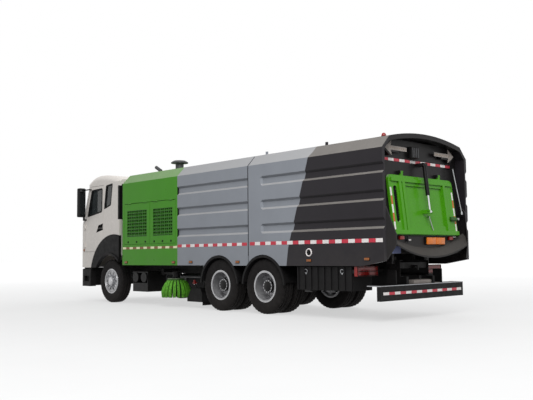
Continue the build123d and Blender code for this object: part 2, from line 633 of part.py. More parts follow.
# Rear frame: leaning door jamb, arched visor, arrow boards and discharge chute
with BuildPart() as rear_frame:
    jamb = [
        (jamb_x(2460), 3060), (jamb_x(2460), 2460), (jamb_x(1400), 1400),
        (jamb_x(1400), FLOOR_LOW), (REAR_EDGE + 240, FLOOR_LOW), (REAR_EDGE + 240, 3060),
    ]
    prism_y(jamb, -INSIDE, INSIDE)
    hull_x(REAR_EDGE, REAR_EDGE + 300, INSIDE, INNER_KNEE, INNER_EDGE, CROWN - 15, FLOOR_LOW, Mode.INTERSECT)
    vault_x(REAR_EDGE, REAR_EDGE + 300, INNER_EDGE, CROWN - 15, EDGE_Z, VISOR_CROWN)
    block(REAR_EDGE, REAR_EDGE + 260, -860, 860, 1500, 2385, Mode.SUBTRACT)
    # Hinge brackets and their pins
    for centre in (-560.0, 560.0):
        for lug in (-48.0, 48.0):
            low, high = centre + lug - 10, centre + lug + 10
            block(HINGE_X - 22, REAR_EDGE + 200, low, high, HINGE_Z - 22, HINGE_Z + 22)
        bar_y(HINGE_X, HINGE_Z, 14, centre - 58, centre + 58)
    # Latch cylinder bracket
    for lug in (-50.0, 50.0):
        block(LATCH_TOP[0] - 28, REAR_EDGE + 200, lug - 9, lug + 9, LATCH_TOP[1] - 28, LATCH_TOP[1] + 28)
    bar_y(LATCH_TOP[0], LATCH_TOP[1], 14, -59, 59)
    # Arrow boards
    for side in (1, -1):
        tip, barb, end = side * (EDGE_Y - 19), side * (EDGE_Y - 170), side * (EDGE_Y - 430)
        arrow = [
            (tip, KNEE + 10), (barb, KNEE + 110), (barb, KNEE + 50), (end, KNEE + 50),
            (end, KNEE - 30), (barb, KNEE - 30), (barb, KNEE - 90),
        ]
        prism_x(arrow, REAR_EDGE + 125, REAR_EDGE + 200)
    # Discharge chute: a shallow trough that runs down to the lip between converging cheeks
    with BuildSketch(Plane(origin=(jamb_x(1400), 0, 0), x_dir=(0, 1, 0), z_dir=(1, 0, 0))) as trough:
        with BuildLine():
            ThreePointArc((-INSIDE, CHUTE_EDGE), (0, CHUTE_MID), (INSIDE, CHUTE_EDGE))
            Line((INSIDE, CHUTE_EDGE), (INSIDE, CHUTE_EDGE - CHUTE_PLATE))
            under = CHUTE_EDGE - CHUTE_PLATE
            ThreePointArc((INSIDE, under), (0, CHUTE_MID - CHUTE_PLATE), (-INSIDE, under))
            Line((-INSIDE, under), (-INSIDE, CHUTE_EDGE))
        make_face()
    run = jamb_x(1400) - LIP_X
    extrude(trough.sketch, amount=math.hypot(run, CHUTE_DROP), dir=(-run, 0, -CHUTE_DROP))
    cheek_rear = REAR_EDGE + 130
    lip_end = LIP_HALF - CHEEK
    for side in (1, -1):
        outside = [
            (REAR_EDGE, side * INSIDE), (LIP_X, side * LIP_HALF), (LIP_X - 5, side * LIP_HALF),
            (LIP_X - 5, side * HALF_WIDTH), (REAR_EDGE, side * HALF_WIDTH),
        ]
        prism_z(outside, 900, 2000, Mode.SUBTRACT)
        cheek = [
            (cheek_rear, side * INSIDE), (cheek_rear, side * (INSIDE - CHEEK)),
            (REAR_EDGE, side * (INSIDE - CHEEK)), (LIP_X, side * lip_end), (LIP_X, side * LIP_HALF),
            (REAR_EDGE, side * INSIDE),
        ]
        prism_z(cheek, 1021, CHEEK_TOP + 122)
        above = [
            (cheek_rear, CHEEK_TOP + 122), (REAR_EDGE, CHEEK_TOP), (LIP_X, CHEEK_TIP), (LIP_X - 5, CHEEK_TIP),
            (LIP_X - 5, CHEEK_TOP + 130), (cheek_rear, CHEEK_TOP + 130),
        ]
        side_prism_y(side, above, lip_end - 5, INSIDE + 1, Mode.SUBTRACT)
        below = [(REAR_EDGE, 1015), (REAR_EDGE, 1021), (LIP_X, 1258), (LIP_X - 5, 1258), (LIP_X - 5, 1015)]
        side_prism_y(side, below, lip_end - 5, INSIDE + 1, Mode.SUBTRACT)
save(rear_frame, "rear_frame")

# Rear door with stiffened border, sunk panel, side slot, posts, hinge knuckles and cylinder lugs
def leaf(low, high, proud, deep):
    low_x = DOOR_LOW_X + (low - DOOR_LOW) * LEAN
    high_x = DOOR_LOW_X + (high - DOOR_LOW) * LEAN
    return [(low_x - proud, low), (high_x - proud, high), (high_x + deep, high), (low_x + deep, low)]


with BuildPart() as rear_door:
    prism_y(leaf(DOOR_LOW, DOOR_TOP, 0, DOOR_THICK), -DOOR_HALF, DOOR_HALF)
    fillet(rear_door.edges().filter_by(Axis.X, tolerance=10).group_by(Axis.Z)[-1], 90)
    prism_y(leaf(1590, 2270, 20, 22), -600, 500, Mode.SUBTRACT)
    prism_y(leaf(1690, 2200, 20, 28), 740, 850, Mode.SUBTRACT)
    for end in (1690.0, 2200.0):
        bar_x(795, end, 55, REAR_EDGE, DOOR_LOW_X + (end - DOOR_LOW) * LEAN + 28, Mode.SUBTRACT)
    for low, high in ((-690.0, -620.0), (530.0, 600.0), (630.0, 700.0)):
        prism_y(leaf(1500, 2330, 25, 5), low, high)
    prism_y(leaf(1440, 1510, 30, 5), -DOOR_HALF, DOOR_HALF)
    prism_y(leaf(2330, 2390, 25, 5), -DOOR_HALF + 60, DOOR_HALF - 60)
    for centre in (-560.0, 560.0):
        hinge_arm = [
            (HINGE_X - 20, HINGE_Z + 20), (HINGE_X + 20, HINGE_Z + 20),
            (DOOR_TOP_X + 35, DOOR_TOP - 10), (DOOR_TOP_X, DOOR_TOP - 10),
        ]
        prism_y(hinge_arm, centre - 33, centre + 33)
        bar_y(HINGE_X, HINGE_Z, 14 + CLEAR, centre - 40, centre + 40, Mode.SUBTRACT)
    for lug in (-46.0, 46.0):
        ear = [
            (LATCH_EYE[0] - 32, LATCH_EYE[1] - 32), (LATCH_EYE[0] - 32, LATCH_EYE[1] + 32),
            (REAR_EDGE + 90, LATCH_EYE[1] + 32), (REAR_EDGE + 90, LATCH_EYE[1] - 32),
        ]
        prism_y(ear, lug - 8, lug + 8)
    bar_y(LATCH_EYE[0], LATCH_EYE[1], 14, -60, 60, Mode.SUBTRACT)
save(rear_door, "rear_door")

# Door cylinder
with BuildPart() as door_barrel:
    bar_y(LATCH_TOP[0], LATCH_TOP[1], 32, -35, 35)
    bar_slant(LATCH_TOP, LATCH_EYE, 36, 20, 545)
    bar_slant(LATCH_TOP, LATCH_EYE, 20.5, 200, 550, Mode.SUBTRACT)
    bar_y(LATCH_TOP[0], LATCH_TOP[1], 14 + CLEAR, -40, 40, Mode.SUBTRACT)
save(door_barrel, "door_barrel")

LATCH_LENGTH = math.hypot(LATCH_EYE[0] - LATCH_TOP[0], LATCH_EYE[1] - LATCH_TOP[1])
with BuildPart() as door_rod:
    bar_slant(LATCH_TOP, LATCH_EYE, 20, 460, LATCH_LENGTH)
    bar_y(LATCH_EYE[0], LATCH_EYE[1], 30, -30, 30)
    bar_y(LATCH_EYE[0], LATCH_EYE[1], 14, -35, 35, Mode.SUBTRACT)
save(door_rod, "door_rod")

# Tipping ram
RAM_LENGTH = math.hypot(RAM_EYE[0] - RAM_FOOT[0], RAM_EYE[1] - RAM_FOOT[1])
with BuildPart() as ram_barrel:
    bar_y(RAM_FOOT[0], RAM_FOOT[1], 40, -38, 38)
    bar_slant(RAM_FOOT, RAM_EYE, 36, 10, 80)
    bar_slant(RAM_FOOT, RAM_EYE, 55, 70, 900)
    bar_slant(RAM_FOOT, RAM_EYE, 32.5, 120, 905, Mode.SUBTRACT)
    bar_y(RAM_FOOT[0], RAM_FOOT[1], 20 + CLEAR, -40, 40, Mode.SUBTRACT)
save(ram_barrel, "ram_barrel")

with BuildPart() as ram_rod:
    bar_slant(RAM_FOOT, RAM_EYE, 32, 180, RAM_LENGTH)
    bar_y(RAM_EYE[0], RAM_EYE[1], 40, -35, 35)
    bar_y(RAM_EYE[0], RAM_EYE[1], 20, -40, 40, Mode.SUBTRACT)
save(ram_rod, "ram_rod")

# Cab floor and back wall
with BuildPart() as cab_floor:
    inside = CAB_HALF - CAB_WALL
    block(CAB_BACK, CAB_FRONT - CAB_WALL, -inside, inside, CAB_FLOOR, CAB_FLOOR + 50)
    fillet(cab_floor.edges().filter_by(Axis.Z).group_by(Axis.X)[-1], CAB_CORNER - CAB_WALL + 5)
    block(CAB_BACK, CAB_BACK + CAB_WALL, -inside, inside, CAB_FLOOR, CAB_EAVE)
save(cab_floor, "cab_floor")

# Cab front wall with round corners, windscreen pillars and header, grille slats and tilt ears
NOSE_BACK = CAB_FRONT - CAB_CORNER
PILLAR_RUN = CAB_FRONT - ROOF_FRONT
PILLAR_RISE = CAB_EAVE - BELT
PILLAR_SLOPE = PILLAR_RUN / PILLAR_RISE


def nose_plan(z):
    deep = 4 * CAB_CORNER
    inside = CAB_HALF - CAB_WALL
    with BuildSketch(Plane.XY.offset(z)) as plan:
        with Locations((CAB_FRONT - deep / 2, 0)):
            RectangleRounded(deep, 2 * CAB_HALF, CAB_CORNER)
        with Locations((CAB_FRONT - CAB_WALL - deep / 2, 0)):
            RectangleRounded(deep, 2 * inside, CAB_CORNER - CAB_WALL, mode=Mode.SUBTRACT)
        with Locations((NOSE_BACK - deep, 0)):
            Rectangle(2 * deep, 2 * CAB_HALF + 20, mode=Mode.SUBTRACT)
    return plan.sketch


with BuildPart() as cab_front:
    extrude(nose_plan(CAB_LOW), amount=BELT - CAB_LOW)
    extrude(nose_plan(BELT), amount=math.hypot(PILLAR_RUN, PILLAR_RISE), dir=(-PILLAR_RUN, 0, PILLAR_RISE))
    block(4600, CAB_FRONT + 5, -SCREEN_HALF, SCREEN_HALF, SCREEN_LOW, SCREEN_TOP, Mode.SUBTRACT)
    for row in range(8):
        base = CAB_FLOOR + row * 70
        block(CAB_FRONT - 18, CAB_FRONT + 5, -780, 780, base, base + 38, Mode.SUBTRACT)
    block(4900, CAB_FRONT + 5, -500, 500, CAB_LOW - 5, TILT_Z + 70, Mode.SUBTRACT)
    pair(TILT_X - 28, TILT_X + 24, 440, 478, TILT_Z - 28, TILT_Z + 140)
    pair_bar_y(TILT_X, TILT_Z, 16 + CLEAR, 435, 485, Mode.SUBTRACT)
save(cab_front, "cab_front")

CAB_SIDE = [
    (CAB_BACK, CAB_FLOOR), (CAB_BACK, CAB_EAVE), (ROOF_FRONT - CAB_CORNER, CAB_EAVE), (NOSE_BACK, BELT),
    (NOSE_BACK, CAB_LOW), (4300, CAB_LOW), (4300, CAB_FLOOR),
]
DOOR_PEAK = ROOF_FRONT - CAB_CORNER - 30.0
CAB_DOOR = [
    (DOOR_REAR, CAB_DOOR_LOW), (DOOR_REAR, CAB_DOOR_TOP), (DOOR_PEAK, CAB_DOOR_TOP), (DOOR_FRONT, BELT + 50),
    (DOOR_FRONT, CAB_DOOR_LOW),
]
CAB_DOORWAY = [
    (DOOR_REAR - 8, CAB_DOOR_LOW - 8), (DOOR_REAR - 8, CAB_DOOR_TOP + 8), (DOOR_PEAK + 7, CAB_DOOR_TOP + 8),
    (DOOR_FRONT + 12, BELT + 52), (DOOR_FRONT + 12, CAB_DOOR_LOW - 8),
]
QUARTER = [(3755, CAB_EAVE - 79), (3463, CAB_EAVE - 45), (3540, BELT + 425), (3842, BELT + 343)]
DOOR_WINDOW = [(4640, BELT + 181), (4440, CAB_EAVE - 150), (3935, CAB_EAVE - 130), (3950, BELT + 280)]
HANDLE_POCKET = [(4215, BELT - 235), (3910, BELT - 178), (3910, BELT - 15), (4119, BELT - 59)]
with BuildPart() as cab_sides:
    for side in (1, -1):
        side_prism_y(side, CAB_SIDE, CAB_HALF - CAB_WALL, CAB_HALF)
    bar_y(ARCH_X, ARCH_Z, ARCH_R, -THROUGH, THROUGH, Mode.SUBTRACT)
    prism_y(CAB_DOORWAY, -THROUGH, THROUGH, Mode.SUBTRACT)
    prism_y(QUARTER, -THROUGH, THROUGH, Mode.SUBTRACT)
    # Fixed halves of the door hinges
    for level in (1400.0, 1880.0):
        pair_bar_z(DOOR_FRONT + 6, CAB_HALF + 15, 5, level - 70, level + 70)
        for low in (level - 75, level + 40):
            high = low + 35
            for side in (1, -1):
                bar_z(DOOR_FRONT + 6, side * (CAB_HALF + 15), 10, low, high)
                side_block(side, DOOR_FRONT + 6, DOOR_FRONT + 45, CAB_HALF + 10, CAB_HALF + 20, low, high)
                side_block(side, DOOR_FRONT + 22, DOOR_FRONT + 45, CAB_HALF - 5, CAB_HALF + 20, low, high)
save(cab_sides, "cab_sides")

# Raised cab roof: a domed cap with round edges
ROOF_LOW = CAB_EAVE - 250.0
ROOF_NOSE = ROOF_FRONT + 20.0
ROOF_INSIDE = [
    (CAB_BACK + 70, CAB_EAVE - 5), (3640, CAB_EAVE + 105), (ROOF_PEAK, CAB_EAVE + ROOF_RISE - 65),
    (4450, CAB_EAVE + 95), (ROOF_FRONT - 60, CAB_EAVE - 5),
]
with BuildPart() as cab_roof:
    with BuildSketch(Plane(origin=(0, CAB_HALF, 0), x_dir=(1, 0, 0), z_dir=(0, -1, 0))) as dome:
        with BuildLine():
            back = (CAB_BACK, CAB_EAVE + ROOF_BACK_RISE)
            peak = (ROOF_PEAK, CAB_EAVE + ROOF_RISE)
            ThreePointArc(back, (3640, CAB_EAVE + 174), peak)
            ThreePointArc(peak, (4480, CAB_EAVE + 146), (ROOF_NOSE, CAB_EAVE))
            Polyline((ROOF_NOSE, CAB_EAVE), (ROOF_NOSE, ROOF_LOW), (CAB_BACK, ROOF_LOW), back)
        make_face()
    extrude(dome.sketch, amount=2 * CAB_HALF)
    brow = cab_roof.edges().filter_by(Axis.Y).group_by(Axis.X)[-1]
    fillet(brow.filter_by_position(Axis.Z, CAB_EAVE - 1, CAB_EAVE + 1), 100)
    rims = cab_roof.edges().filter_by_position(Axis.Z, ROOF_LOW + 1, CAB_EAVE + ROOF_RISE)
    rims = rims.filter_by_position(Axis.X, CAB_BACK + 1, ROOF_NOSE)
    fillet(rims.group_by(Axis.Y)[0] + rims.group_by(Axis.Y)[-1], 140)
    out = CAB_HALF + 10
    block(CAB_BACK - 10, ROOF_NOSE + 10, -out, out, ROOF_LOW - 10, CAB_EAVE, Mode.SUBTRACT)
    prism_y(ROOF_INSIDE, -CAB_HALF + 180, CAB_HALF - 180, Mode.SUBTRACT)
save(cab_roof, "cab_roof")

# Windscreen and rear quarter panes
with BuildPart() as cab_glass:
    screen = []
    for z, back in ((SCREEN_LOW, 20.0), (SCREEN_TOP, 20.0), (SCREEN_TOP, 28.0), (SCREEN_LOW, 28.0)):
        screen.append((CAB_FRONT - (z - BELT) * PILLAR_SLOPE - back, z))
    prism_y(screen, -SCREEN_HALF, SCREEN_HALF)
    for side in (1, -1):
        side_prism_y(side, QUARTER, CAB_HALF - 29, CAB_HALF - 23)
save(cab_glass, "cab_glass")

# Black wheel arch panels under the cab sides, each with a raised lip
with BuildPart() as cab_fenders:
    for side in (1, -1):
        low, high = sorted((side * (CAB_HALF - CAB_WALL), side * (CAB_HALF + 10)))
        bar_y(ARCH_X, ARCH_Z, ARCH_R - 0.3, low, high)
        low, high = sorted((side * (CAB_HALF + 5), side * (CAB_HALF + 35)))
        bar_y(AXLE_FRONT, TYRE_R, OPENING_R + 45, low, high)
    bar_y(AXLE_FRONT, TYRE_R, OPENING_R, -THROUGH, THROUGH, Mode.SUBTRACT)
    block(2000, CAB_BACK, -THROUGH, THROUGH, -600, 1800, Mode.SUBTRACT)
    block(2000, 4600, -THROUGH, THROUGH, -600, CAB_LOW, Mode.SUBTRACT)
save(cab_fenders, "cab_fenders")

# Seats, dashboard and steering wheel
with BuildPart() as cab_interior:
    block(4560, CAB_FRONT - CAB_WALL, -CAB_HALF + 125, CAB_HALF - 125, 1500, BELT - 60)
    fillet(cab_interior.edges().filter_by(Axis.Z).group_by(Axis.X)[-1], 130)
    for centre in (620.0, -620.0):
        block(3560, 4080, centre - 250, centre + 250, 1200, 1560)
        prism_y([(3560, 1500), (3680, 1500), (3560, 2300), (3440, 2300)], centre - 240, centre + 240)
    block(4700, CAB_FRONT - CAB_WALL, -400, 400, 1200, 1510)
    with BuildSketch(Plane(origin=(4600, 620, 1800), z_dir=(-0.8, 0, 0.6))) as column:
        Circle(35)
    extrude(column.sketch, amount=230)
    with Locations(Plane(origin=(4408, 620, 1944), z_dir=(-0.8, 0, 0.6)).location):
        Torus(215, 16)
        Box(420, 40, 14)
        Cylinder(50, 24)
save(cab_interior, "cab_interior")

# Cab doors with window panes, and mirrors on two arms
MIRROR_REAR = 4640.0
MIRROR_FRONT = 4790.0
MIRROR_IN = CAB_HALF + 50.0
MIRROR_OUT = CAB_HALF + 245.0
for side, hand in ((1, "left"), (-1, "right")):
    with BuildPart() as cab_door:
        side_prism_y(side, CAB_DOOR, CAB_HALF - CAB_WALL, CAB_HALF)
        bar_y(ARCH_X, ARCH_Z, ARCH_R + 8, -THROUGH, THROUGH, Mode.SUBTRACT)
        prism_y(DOOR_WINDOW, -THROUGH, THROUGH, Mode.SUBTRACT)
        # Hinge knuckles on the front edge
        for level in (1400.0, 1880.0):
            bar_z(DOOR_FRONT + 6, side * (CAB_HALF + 15), 10, level - 35, level + 35)
            low, high = level - 35, level + 35
            side_block(side, DOOR_FRONT - 40, DOOR_FRONT, CAB_HALF - 5, CAB_HALF + 24, low, high)
            side_block(side, DOOR_FRONT - 5, DOOR_FRONT + 6, CAB_HALF + 12, CAB_HALF + 24, low, high)
            bar_z(DOOR_FRONT + 6, side * (CAB_HALF + 15), 5 + CLEAR, level - 40, level + 40, Mode.SUBTRACT)
        # Handle bar across a sunk pocket
        side_prism_y(side, HANDLE_POCKET, CAB_HALF - 30, CAB_HALF + 5, Mode.SUBTRACT)
        side_block(side, 3905, 4165, CAB_HALF - 16, CAB_HALF - 4, BELT - 145, BELT - 120)
    save(cab_door, "cab_door_" + hand)
    with BuildPart() as door_glass:
        side_prism_y(side, DOOR_WINDOW, CAB_HALF - 33, CAB_HALF - 27)
    save(door_glass, "door_glass_" + hand)
    with BuildPart() as mirror:
        side_block(side, MIRROR_REAR, MIRROR_FRONT, MIRROR_IN, MIRROR_OUT, BELT + 170, CAB_EAVE - 80)
        fillet(mirror.edges().filter_by(Axis.Z), 45)
        fillet(mirror.edges().group_by(Axis.Z)[-1] + mirror.edges().group_by(Axis.Z)[0], 30)
        side_block(side, 4695, 4735, CAB_HALF, MIRROR_IN + 40, BELT + 85, BELT + 120)
        side_block(side, 4695, 4735, MIRROR_IN + 5, MIRROR_IN + 40, BELT + 85, BELT + 190)
        low, high = CAB_EAVE - 138, CAB_EAVE - 112
        side_block(side, 4455, 4485, CAB_HALF, MIRROR_IN + 30, low, high)
        side_block(side, 4455, MIRROR_REAR + 40, MIRROR_IN + 5, MIRROR_IN + 30, low, high)
    save(mirror, "mirror_" + hand)

# Front wheels
for side, hand in ((1, "left"), (-1, "right")):
    with BuildPart() as tyre:
        tyre_ring(AXLE_FRONT, side * FRONT_TRACK)
    save(tyre, "tyre_front_" + hand)
    with BuildPart() as rim:
        outline = [
            (SPINDLE_R + CLEAR, 1015), (FRONT_HUB, 1015), (FRONT_HUB, 1125), (RIM_IN, 1125), (RIM_IN, 905),
            (FLANGE_R, 905), (FLANGE_R, 915), (BEAD_R, 915), (BEAD_R, 1145), (FLANGE_R, 1145),
            (FLANGE_R, 1155), (RIM_IN, 1155), (RIM_IN, 1140), (FRONT_HUB, 1140), (FRONT_HUB, 1180),
            (0, 1180), (0, 1155), (SPINDLE_R + CLEAR, 1155),
        ]
        turned_y(AXLE_FRONT, TYRE_R, [(r, side * y) for r, y in outline])
        low, high = sorted((side * 1110.0, side * 1150.0))
        hand_holes(AXLE_FRONT, 190, 30, low, high)
    save(rim, "rim_front_" + hand)

# Paired rear wheels
for station, place in ((AXLE_MID, "mid"), (AXLE_REAR, "rear")):
    for side, hand in ((1, "left"), (-1, "right")):
        with BuildPart() as tyres:
            for centre in (DUAL_IN, DUAL_OUT):
                tyre_ring(station, side * centre)
        save(tyres, "tyres_" + place + "_" + hand)
        with BuildPart() as rims:
            outline = [
                (STUB_R + CLEAR, 645), (DRUM_R, 645), (DRUM_R, 760), (REAR_HUB, 760), (REAR_HUB, 915),
                (RIM_IN, 915), (RIM_IN, 640), (FLANGE_R, 640), (FLANGE_R, 650), (BEAD_R, 650),
                (BEAD_R, 1210), (FLANGE_R, 1210), (FLANGE_R, 1220), (RIM_IN, 1220), (RIM_IN, 945),
                (REAR_HUB, 945), (REAR_HUB, 1150), (0, 1150), (0, 1010), (STUB_R + CLEAR, 1010),
            ]
            turned_y(station, TYRE_R, [(r, side * y) for r, y in outline])
            low, high = sorted((side * 900.0, side * 960.0))
            hand_holes(station, 205, 30, low, high)
        save(rims, "rims_" + place + "_" + hand)

# Side brushes on swinging arms: a plate with a ring of flared tufts
for side, hand in ((1, "left"), (-1, "right")):
    with BuildPart() as arm:
        bar_z(ARM_X, side * ARM_Y, 60, 690, 765)
        prism_z([
            (ARM_X + 10, side * (ARM_Y - 45)), (ARM_X + 10, side * (ARM_Y + 45)),
            (BRUSH_X, side * (BRUSH_Y + 40)), (BRUSH_X, side * (BRUSH_Y - 40))], 700, 750)
        bar_z(BRUSH_X, side * BRUSH_Y, 85, 640, 760)
        bar_z(BRUSH_X, side * BRUSH_Y, 20, 560, 645)
        bar_z(ARM_X, side * ARM_Y, 25 + CLEAR, 680, 770, Mode.SUBTRACT)
    save(arm, "brush_arm_" + hand)
    with BuildPart() as brush:
        turned_z(BRUSH_X, side * BRUSH_Y, [
            (20.05, 625), (200, 625), (200, 585), (320, 200), (255, 200), (140, 550), (20.05, 550)])
        with Locations((BRUSH_X, side * BRUSH_Y, 330)):
            with PolarLocations(260, TUFTS):
                Box(240, 26, 300, mode=Mode.SUBTRACT)
    save(brush, "brush_" + hand)
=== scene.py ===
import json
import math
import random

import bmesh
import bpy
from mathutils import Matrix, Vector

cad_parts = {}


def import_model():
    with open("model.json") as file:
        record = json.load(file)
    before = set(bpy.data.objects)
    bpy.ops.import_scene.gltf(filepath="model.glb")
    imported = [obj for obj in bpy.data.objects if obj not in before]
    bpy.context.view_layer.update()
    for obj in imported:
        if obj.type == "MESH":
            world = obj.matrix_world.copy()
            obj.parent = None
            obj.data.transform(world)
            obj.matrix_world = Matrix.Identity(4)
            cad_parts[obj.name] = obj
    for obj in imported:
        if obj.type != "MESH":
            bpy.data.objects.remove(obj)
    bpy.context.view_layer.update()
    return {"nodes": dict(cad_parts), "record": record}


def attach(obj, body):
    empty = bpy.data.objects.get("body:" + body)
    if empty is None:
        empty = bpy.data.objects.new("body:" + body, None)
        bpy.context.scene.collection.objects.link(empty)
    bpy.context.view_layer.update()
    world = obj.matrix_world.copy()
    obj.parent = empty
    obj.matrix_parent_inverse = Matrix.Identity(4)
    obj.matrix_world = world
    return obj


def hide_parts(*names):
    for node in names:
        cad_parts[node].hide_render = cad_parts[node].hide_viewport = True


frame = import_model()
random.seed(7)

# Places along the truck in metres: +X forward, +Y left, +Z up
REAR_EDGE = -4.884
SEAM = -1.644
TANK_FRONT = 0.656
MODULE_FRONT = 2.836
CAB_BACK = 3.066
CAB_FRONT = 4.951
BUMPER_FRONT = 4.986

# Sections of the body and the cab
HALF_WIDTH = 1.275
EDGE_Y = 1.070
SKIRT = 0.915
KNEE = 2.850
EDGE_Z = 3.060
CROWN = 3.115
CAB_HALF = 1.225
BELT = 1.960
SCREEN_SLOPE = 0.3434
SIDES = (1, -1)
HANDS = ((1, "left"), (-1, "right"))

# How deep a fitting sits in the face that carries it
SUNK = 0.001

# Wheels: stations, tyre radius, middles of the tyres, faces of the discs and circles of the nuts
AXLES = {"front": 3.516, "mid": -0.724, "rear": -2.024}
TYRE_R = 0.522
FRONT_TYRE_Y = 1.030
TWIN_TYRES_Y = (0.765, 1.095)
FRONT_DISC_Y = 1.140
TWIN_DISC_Y = 0.945
FRONT_NUTS_R = 0.140
TWIN_NUTS_R = 0.150
NUTS = 10

# Half of a tyre's section, as radius and distance from its middle: side wall, then tread ribs
TYRE_WALL = (
    (0.2855, 0.106), (0.297, 0.120), (0.330, 0.131), (0.375, 0.1385), (0.425, 0.1395), (0.465, 0.135),
    (0.495, 0.127), (0.512, 0.118), (0.518, 0.110),
)
TREAD_RIBS = (
    (0.518, 0.074), (0.506, 0.070), (0.506, 0.060), (0.520, 0.056),
    (0.520, 0.022), (0.506, 0.018), (0.506, 0.008), (0.5205, 0.004),
)
TREAD_STEPS = 120
SHOULDER_R = 0.508
SHOULDER_Y = (0.072, 0.122)
NOTCH_DEPTH = 0.010
NOTCH_EVERY = 3

# Hub sections, as radius and distance from the truck's middle
FRONT_HUB = (
    (0.0005, 1.196), (0.060, 1.194), (0.086, 1.184), (0.092, 1.160), (0.114, 1.150), (0.114, 1.139),
    (0.0005, 1.139),
)
TWIN_HUB = (
    (0.0005, 1.172), (0.070, 1.168), (0.092, 1.155), (0.100, 1.149), (0.124, 1.140), (0.124, 1.100),
    (0.0005, 1.100),
)

# Rear door: foot of its outer face and how far it leans for each metre of height
DOOR_LOW = 1.425
DOOR_LOW_X = REAR_EDGE + 0.016
LEAN = 0.121 / 1.015
JAMB_LOW_X = REAR_EDGE + 0.066
JAMB_HIGH_X = REAR_EDGE + 0.192

# Module doors: label, rear edge and front edge; margin and heights of their louvred fields
MODULE_DOORS = (("front", 1.716, 2.746), ("rear", 0.726, 1.686))
LOUVRE_MARGIN = 0.110
LOUVRES = (1.575, 2.185)

# Side tapes: name, body, rear end, front end, bottom, top, and the two materials in turn
SIDE_TAPES = (
    ("hopper", "hopper", REAR_EDGE + 0.02, SEAM - 0.03, 1.302, 1.366, "tape_white", "tape_red"),
    ("tank", "chassis", SEAM + 0.05, TANK_FRONT - 0.01, 1.300, 1.360, "tape_red", "tape_white"),
    ("module", "chassis", TANK_FRONT + 0.01, MODULE_FRONT - 0.02, 1.285, 1.335, "tape_cream", "tape_brown"),
)
SIDE_BLOCK = 0.1475
REAR_BLOCK = 0.156
BLOCK_GAP = 0.0012

# Side lamps of each body: place along the truck and height
SIDE_LAMPS = {
    "hopper": ((-4.533, 1.030), (-3.231, 1.010)),
    "chassis": ((-1.313, 0.985), (0.185, 0.985), (0.795, 0.980), (2.668, 0.980)),
}

# Cab outlines in X and Z
DOOR_WINDOW = [(4.551, 2.141), (4.351, 2.800), (3.846, 2.820), (3.861, 2.240)]
QUARTER_WINDOW = [(3.666, 2.871), (3.374, 2.905), (3.451, 2.385), (3.753, 2.303)]
HANDLE_POCKET = [
    (4.126, BELT - 0.235), (3.821, BELT - 0.178), (3.821, BELT - 0.015), (4.030, BELT - 0.059)]

# Side brushes and nozzle
BRUSH_X = 1.116
BRUSH_Y = 0.960
TUFTS = 20
TUFT_STRANDS = 46
CORE_STRANDS = 420
BRUSH_PLATE = (
    (0.0205, 0.622), (0.190, 0.622), (0.204, 0.612), (0.204, 0.590), (0.196, 0.572), (0.140, 0.552),
    (0.0205, 0.552),
)
BRISTLE_COURSE = (
    # radius at the core, further out at the skin, height, thickness
    (0.150, 0.044, 0.584, 0.0046),
    (0.196, 0.064, 0.510, 0.0044),
    (0.232, 0.074, 0.425, 0.0042),
    (0.254, 0.080, 0.330, 0.0038),
    (0.250, 0.074, 0.212, 0.0026),
)
NOZZLE_X = 0.400

# Line between silver and charcoal on the hopper: height and place along the truck
PARTING = ((0.917, -2.664), (1.25, -2.714), (2.95, -3.269))

# Camera that took the view: place, heading, rise and roll in degrees
CAMERA_AT = Vector((-12.027, 10.663, 1.107))
CAMERA_HEADING = -43.559
CAMERA_RISE = 4.385
CAMERA_ROLL = -0.608
FOCAL_PIXELS = 723.18
IMAGE_WIDTH = 533
SENSOR = 36.0

# Studio: the floor glows more far from the truck, the sky is brighter overhead
FLOOR_RADIUS = 160.0
FLOOR_GLOW_NEAR = 0.58
FLOOR_GLOW_FAR = 0.84
FLOOR_TONE = 0.17
SKY_LOW = 0.45
SKY_HIGH = 1.00
SKY_TINT = (0.97, 0.985, 1.0, 1.0)
LAMPS = (
    # name, place, power
    ("key", (-11.0, 9.0, 12.0), 2000.0),
    ("fill", (6.0, -12.0, 10.0), 600.0),
)
LAMP_SIZE = 10.0
LAMP_AIM = Vector((0.0, 0.0, 1.5))

# How much rougher dust makes the paint of a roof
ROOF_DULL = 0.45


def colour(red, green, blue):
    out = []
    for value in (red, green, blue):
        c = value / 255
        out.append(c / 12.92 if c <= 0.04045 else ((c + 0.055) / 1.055) ** 2.4)
    return (*out, 1.0)


GREEN = colour(62, 138, 12)
SILVER = colour(138, 142, 149)
CHARCOAL = colour(36, 33, 37)
BLACK = colour(13, 12, 13)
LAMP_RED = colour(142, 26, 22)
LAMP_CLEAR = colour(205, 208, 210)
ROOF_DUST = colour(176, 171, 164)
LOW_DUST = colour(104, 98, 88)
WHITE = (1.0, 1.0, 1.0, 1.0)

MATERIALS = {}


def new_material(name):
    material = bpy.data.materials.new(name)
    material.use_nodes = True
    MATERIALS[name] = material
    return material.node_tree, material.node_tree.nodes["Principled BSDF"]


def fill(node, values):
    """Sets inputs of a node, or links them where the value is an output of another."""
    for name, value in values.items():
        if isinstance(value, bpy.types.NodeSocket):
            node.id_data.links.new(value, node.inputs[name])
        else:
            node.inputs[name].default_value = value


def add(tree, kind, values):
    """Adds a node and gives its outputs."""
    node = tree.nodes.new("ShaderNode" + kind)
    fill(node, values)
    return node.outputs


def shade(tint, factor):
    return (tint[0] * factor, tint[1] * factor, tint[2] * factor, 1.0)


def coordinates(tree, kind="Object"):
    return add(tree, "TexCoord", {})[kind]


def axes(tree, kind="Object"):
    """The X, Y and Z of each point, by name."""
    return add(tree, "SeparateXYZ", {"Vector": coordinates(tree, kind)})


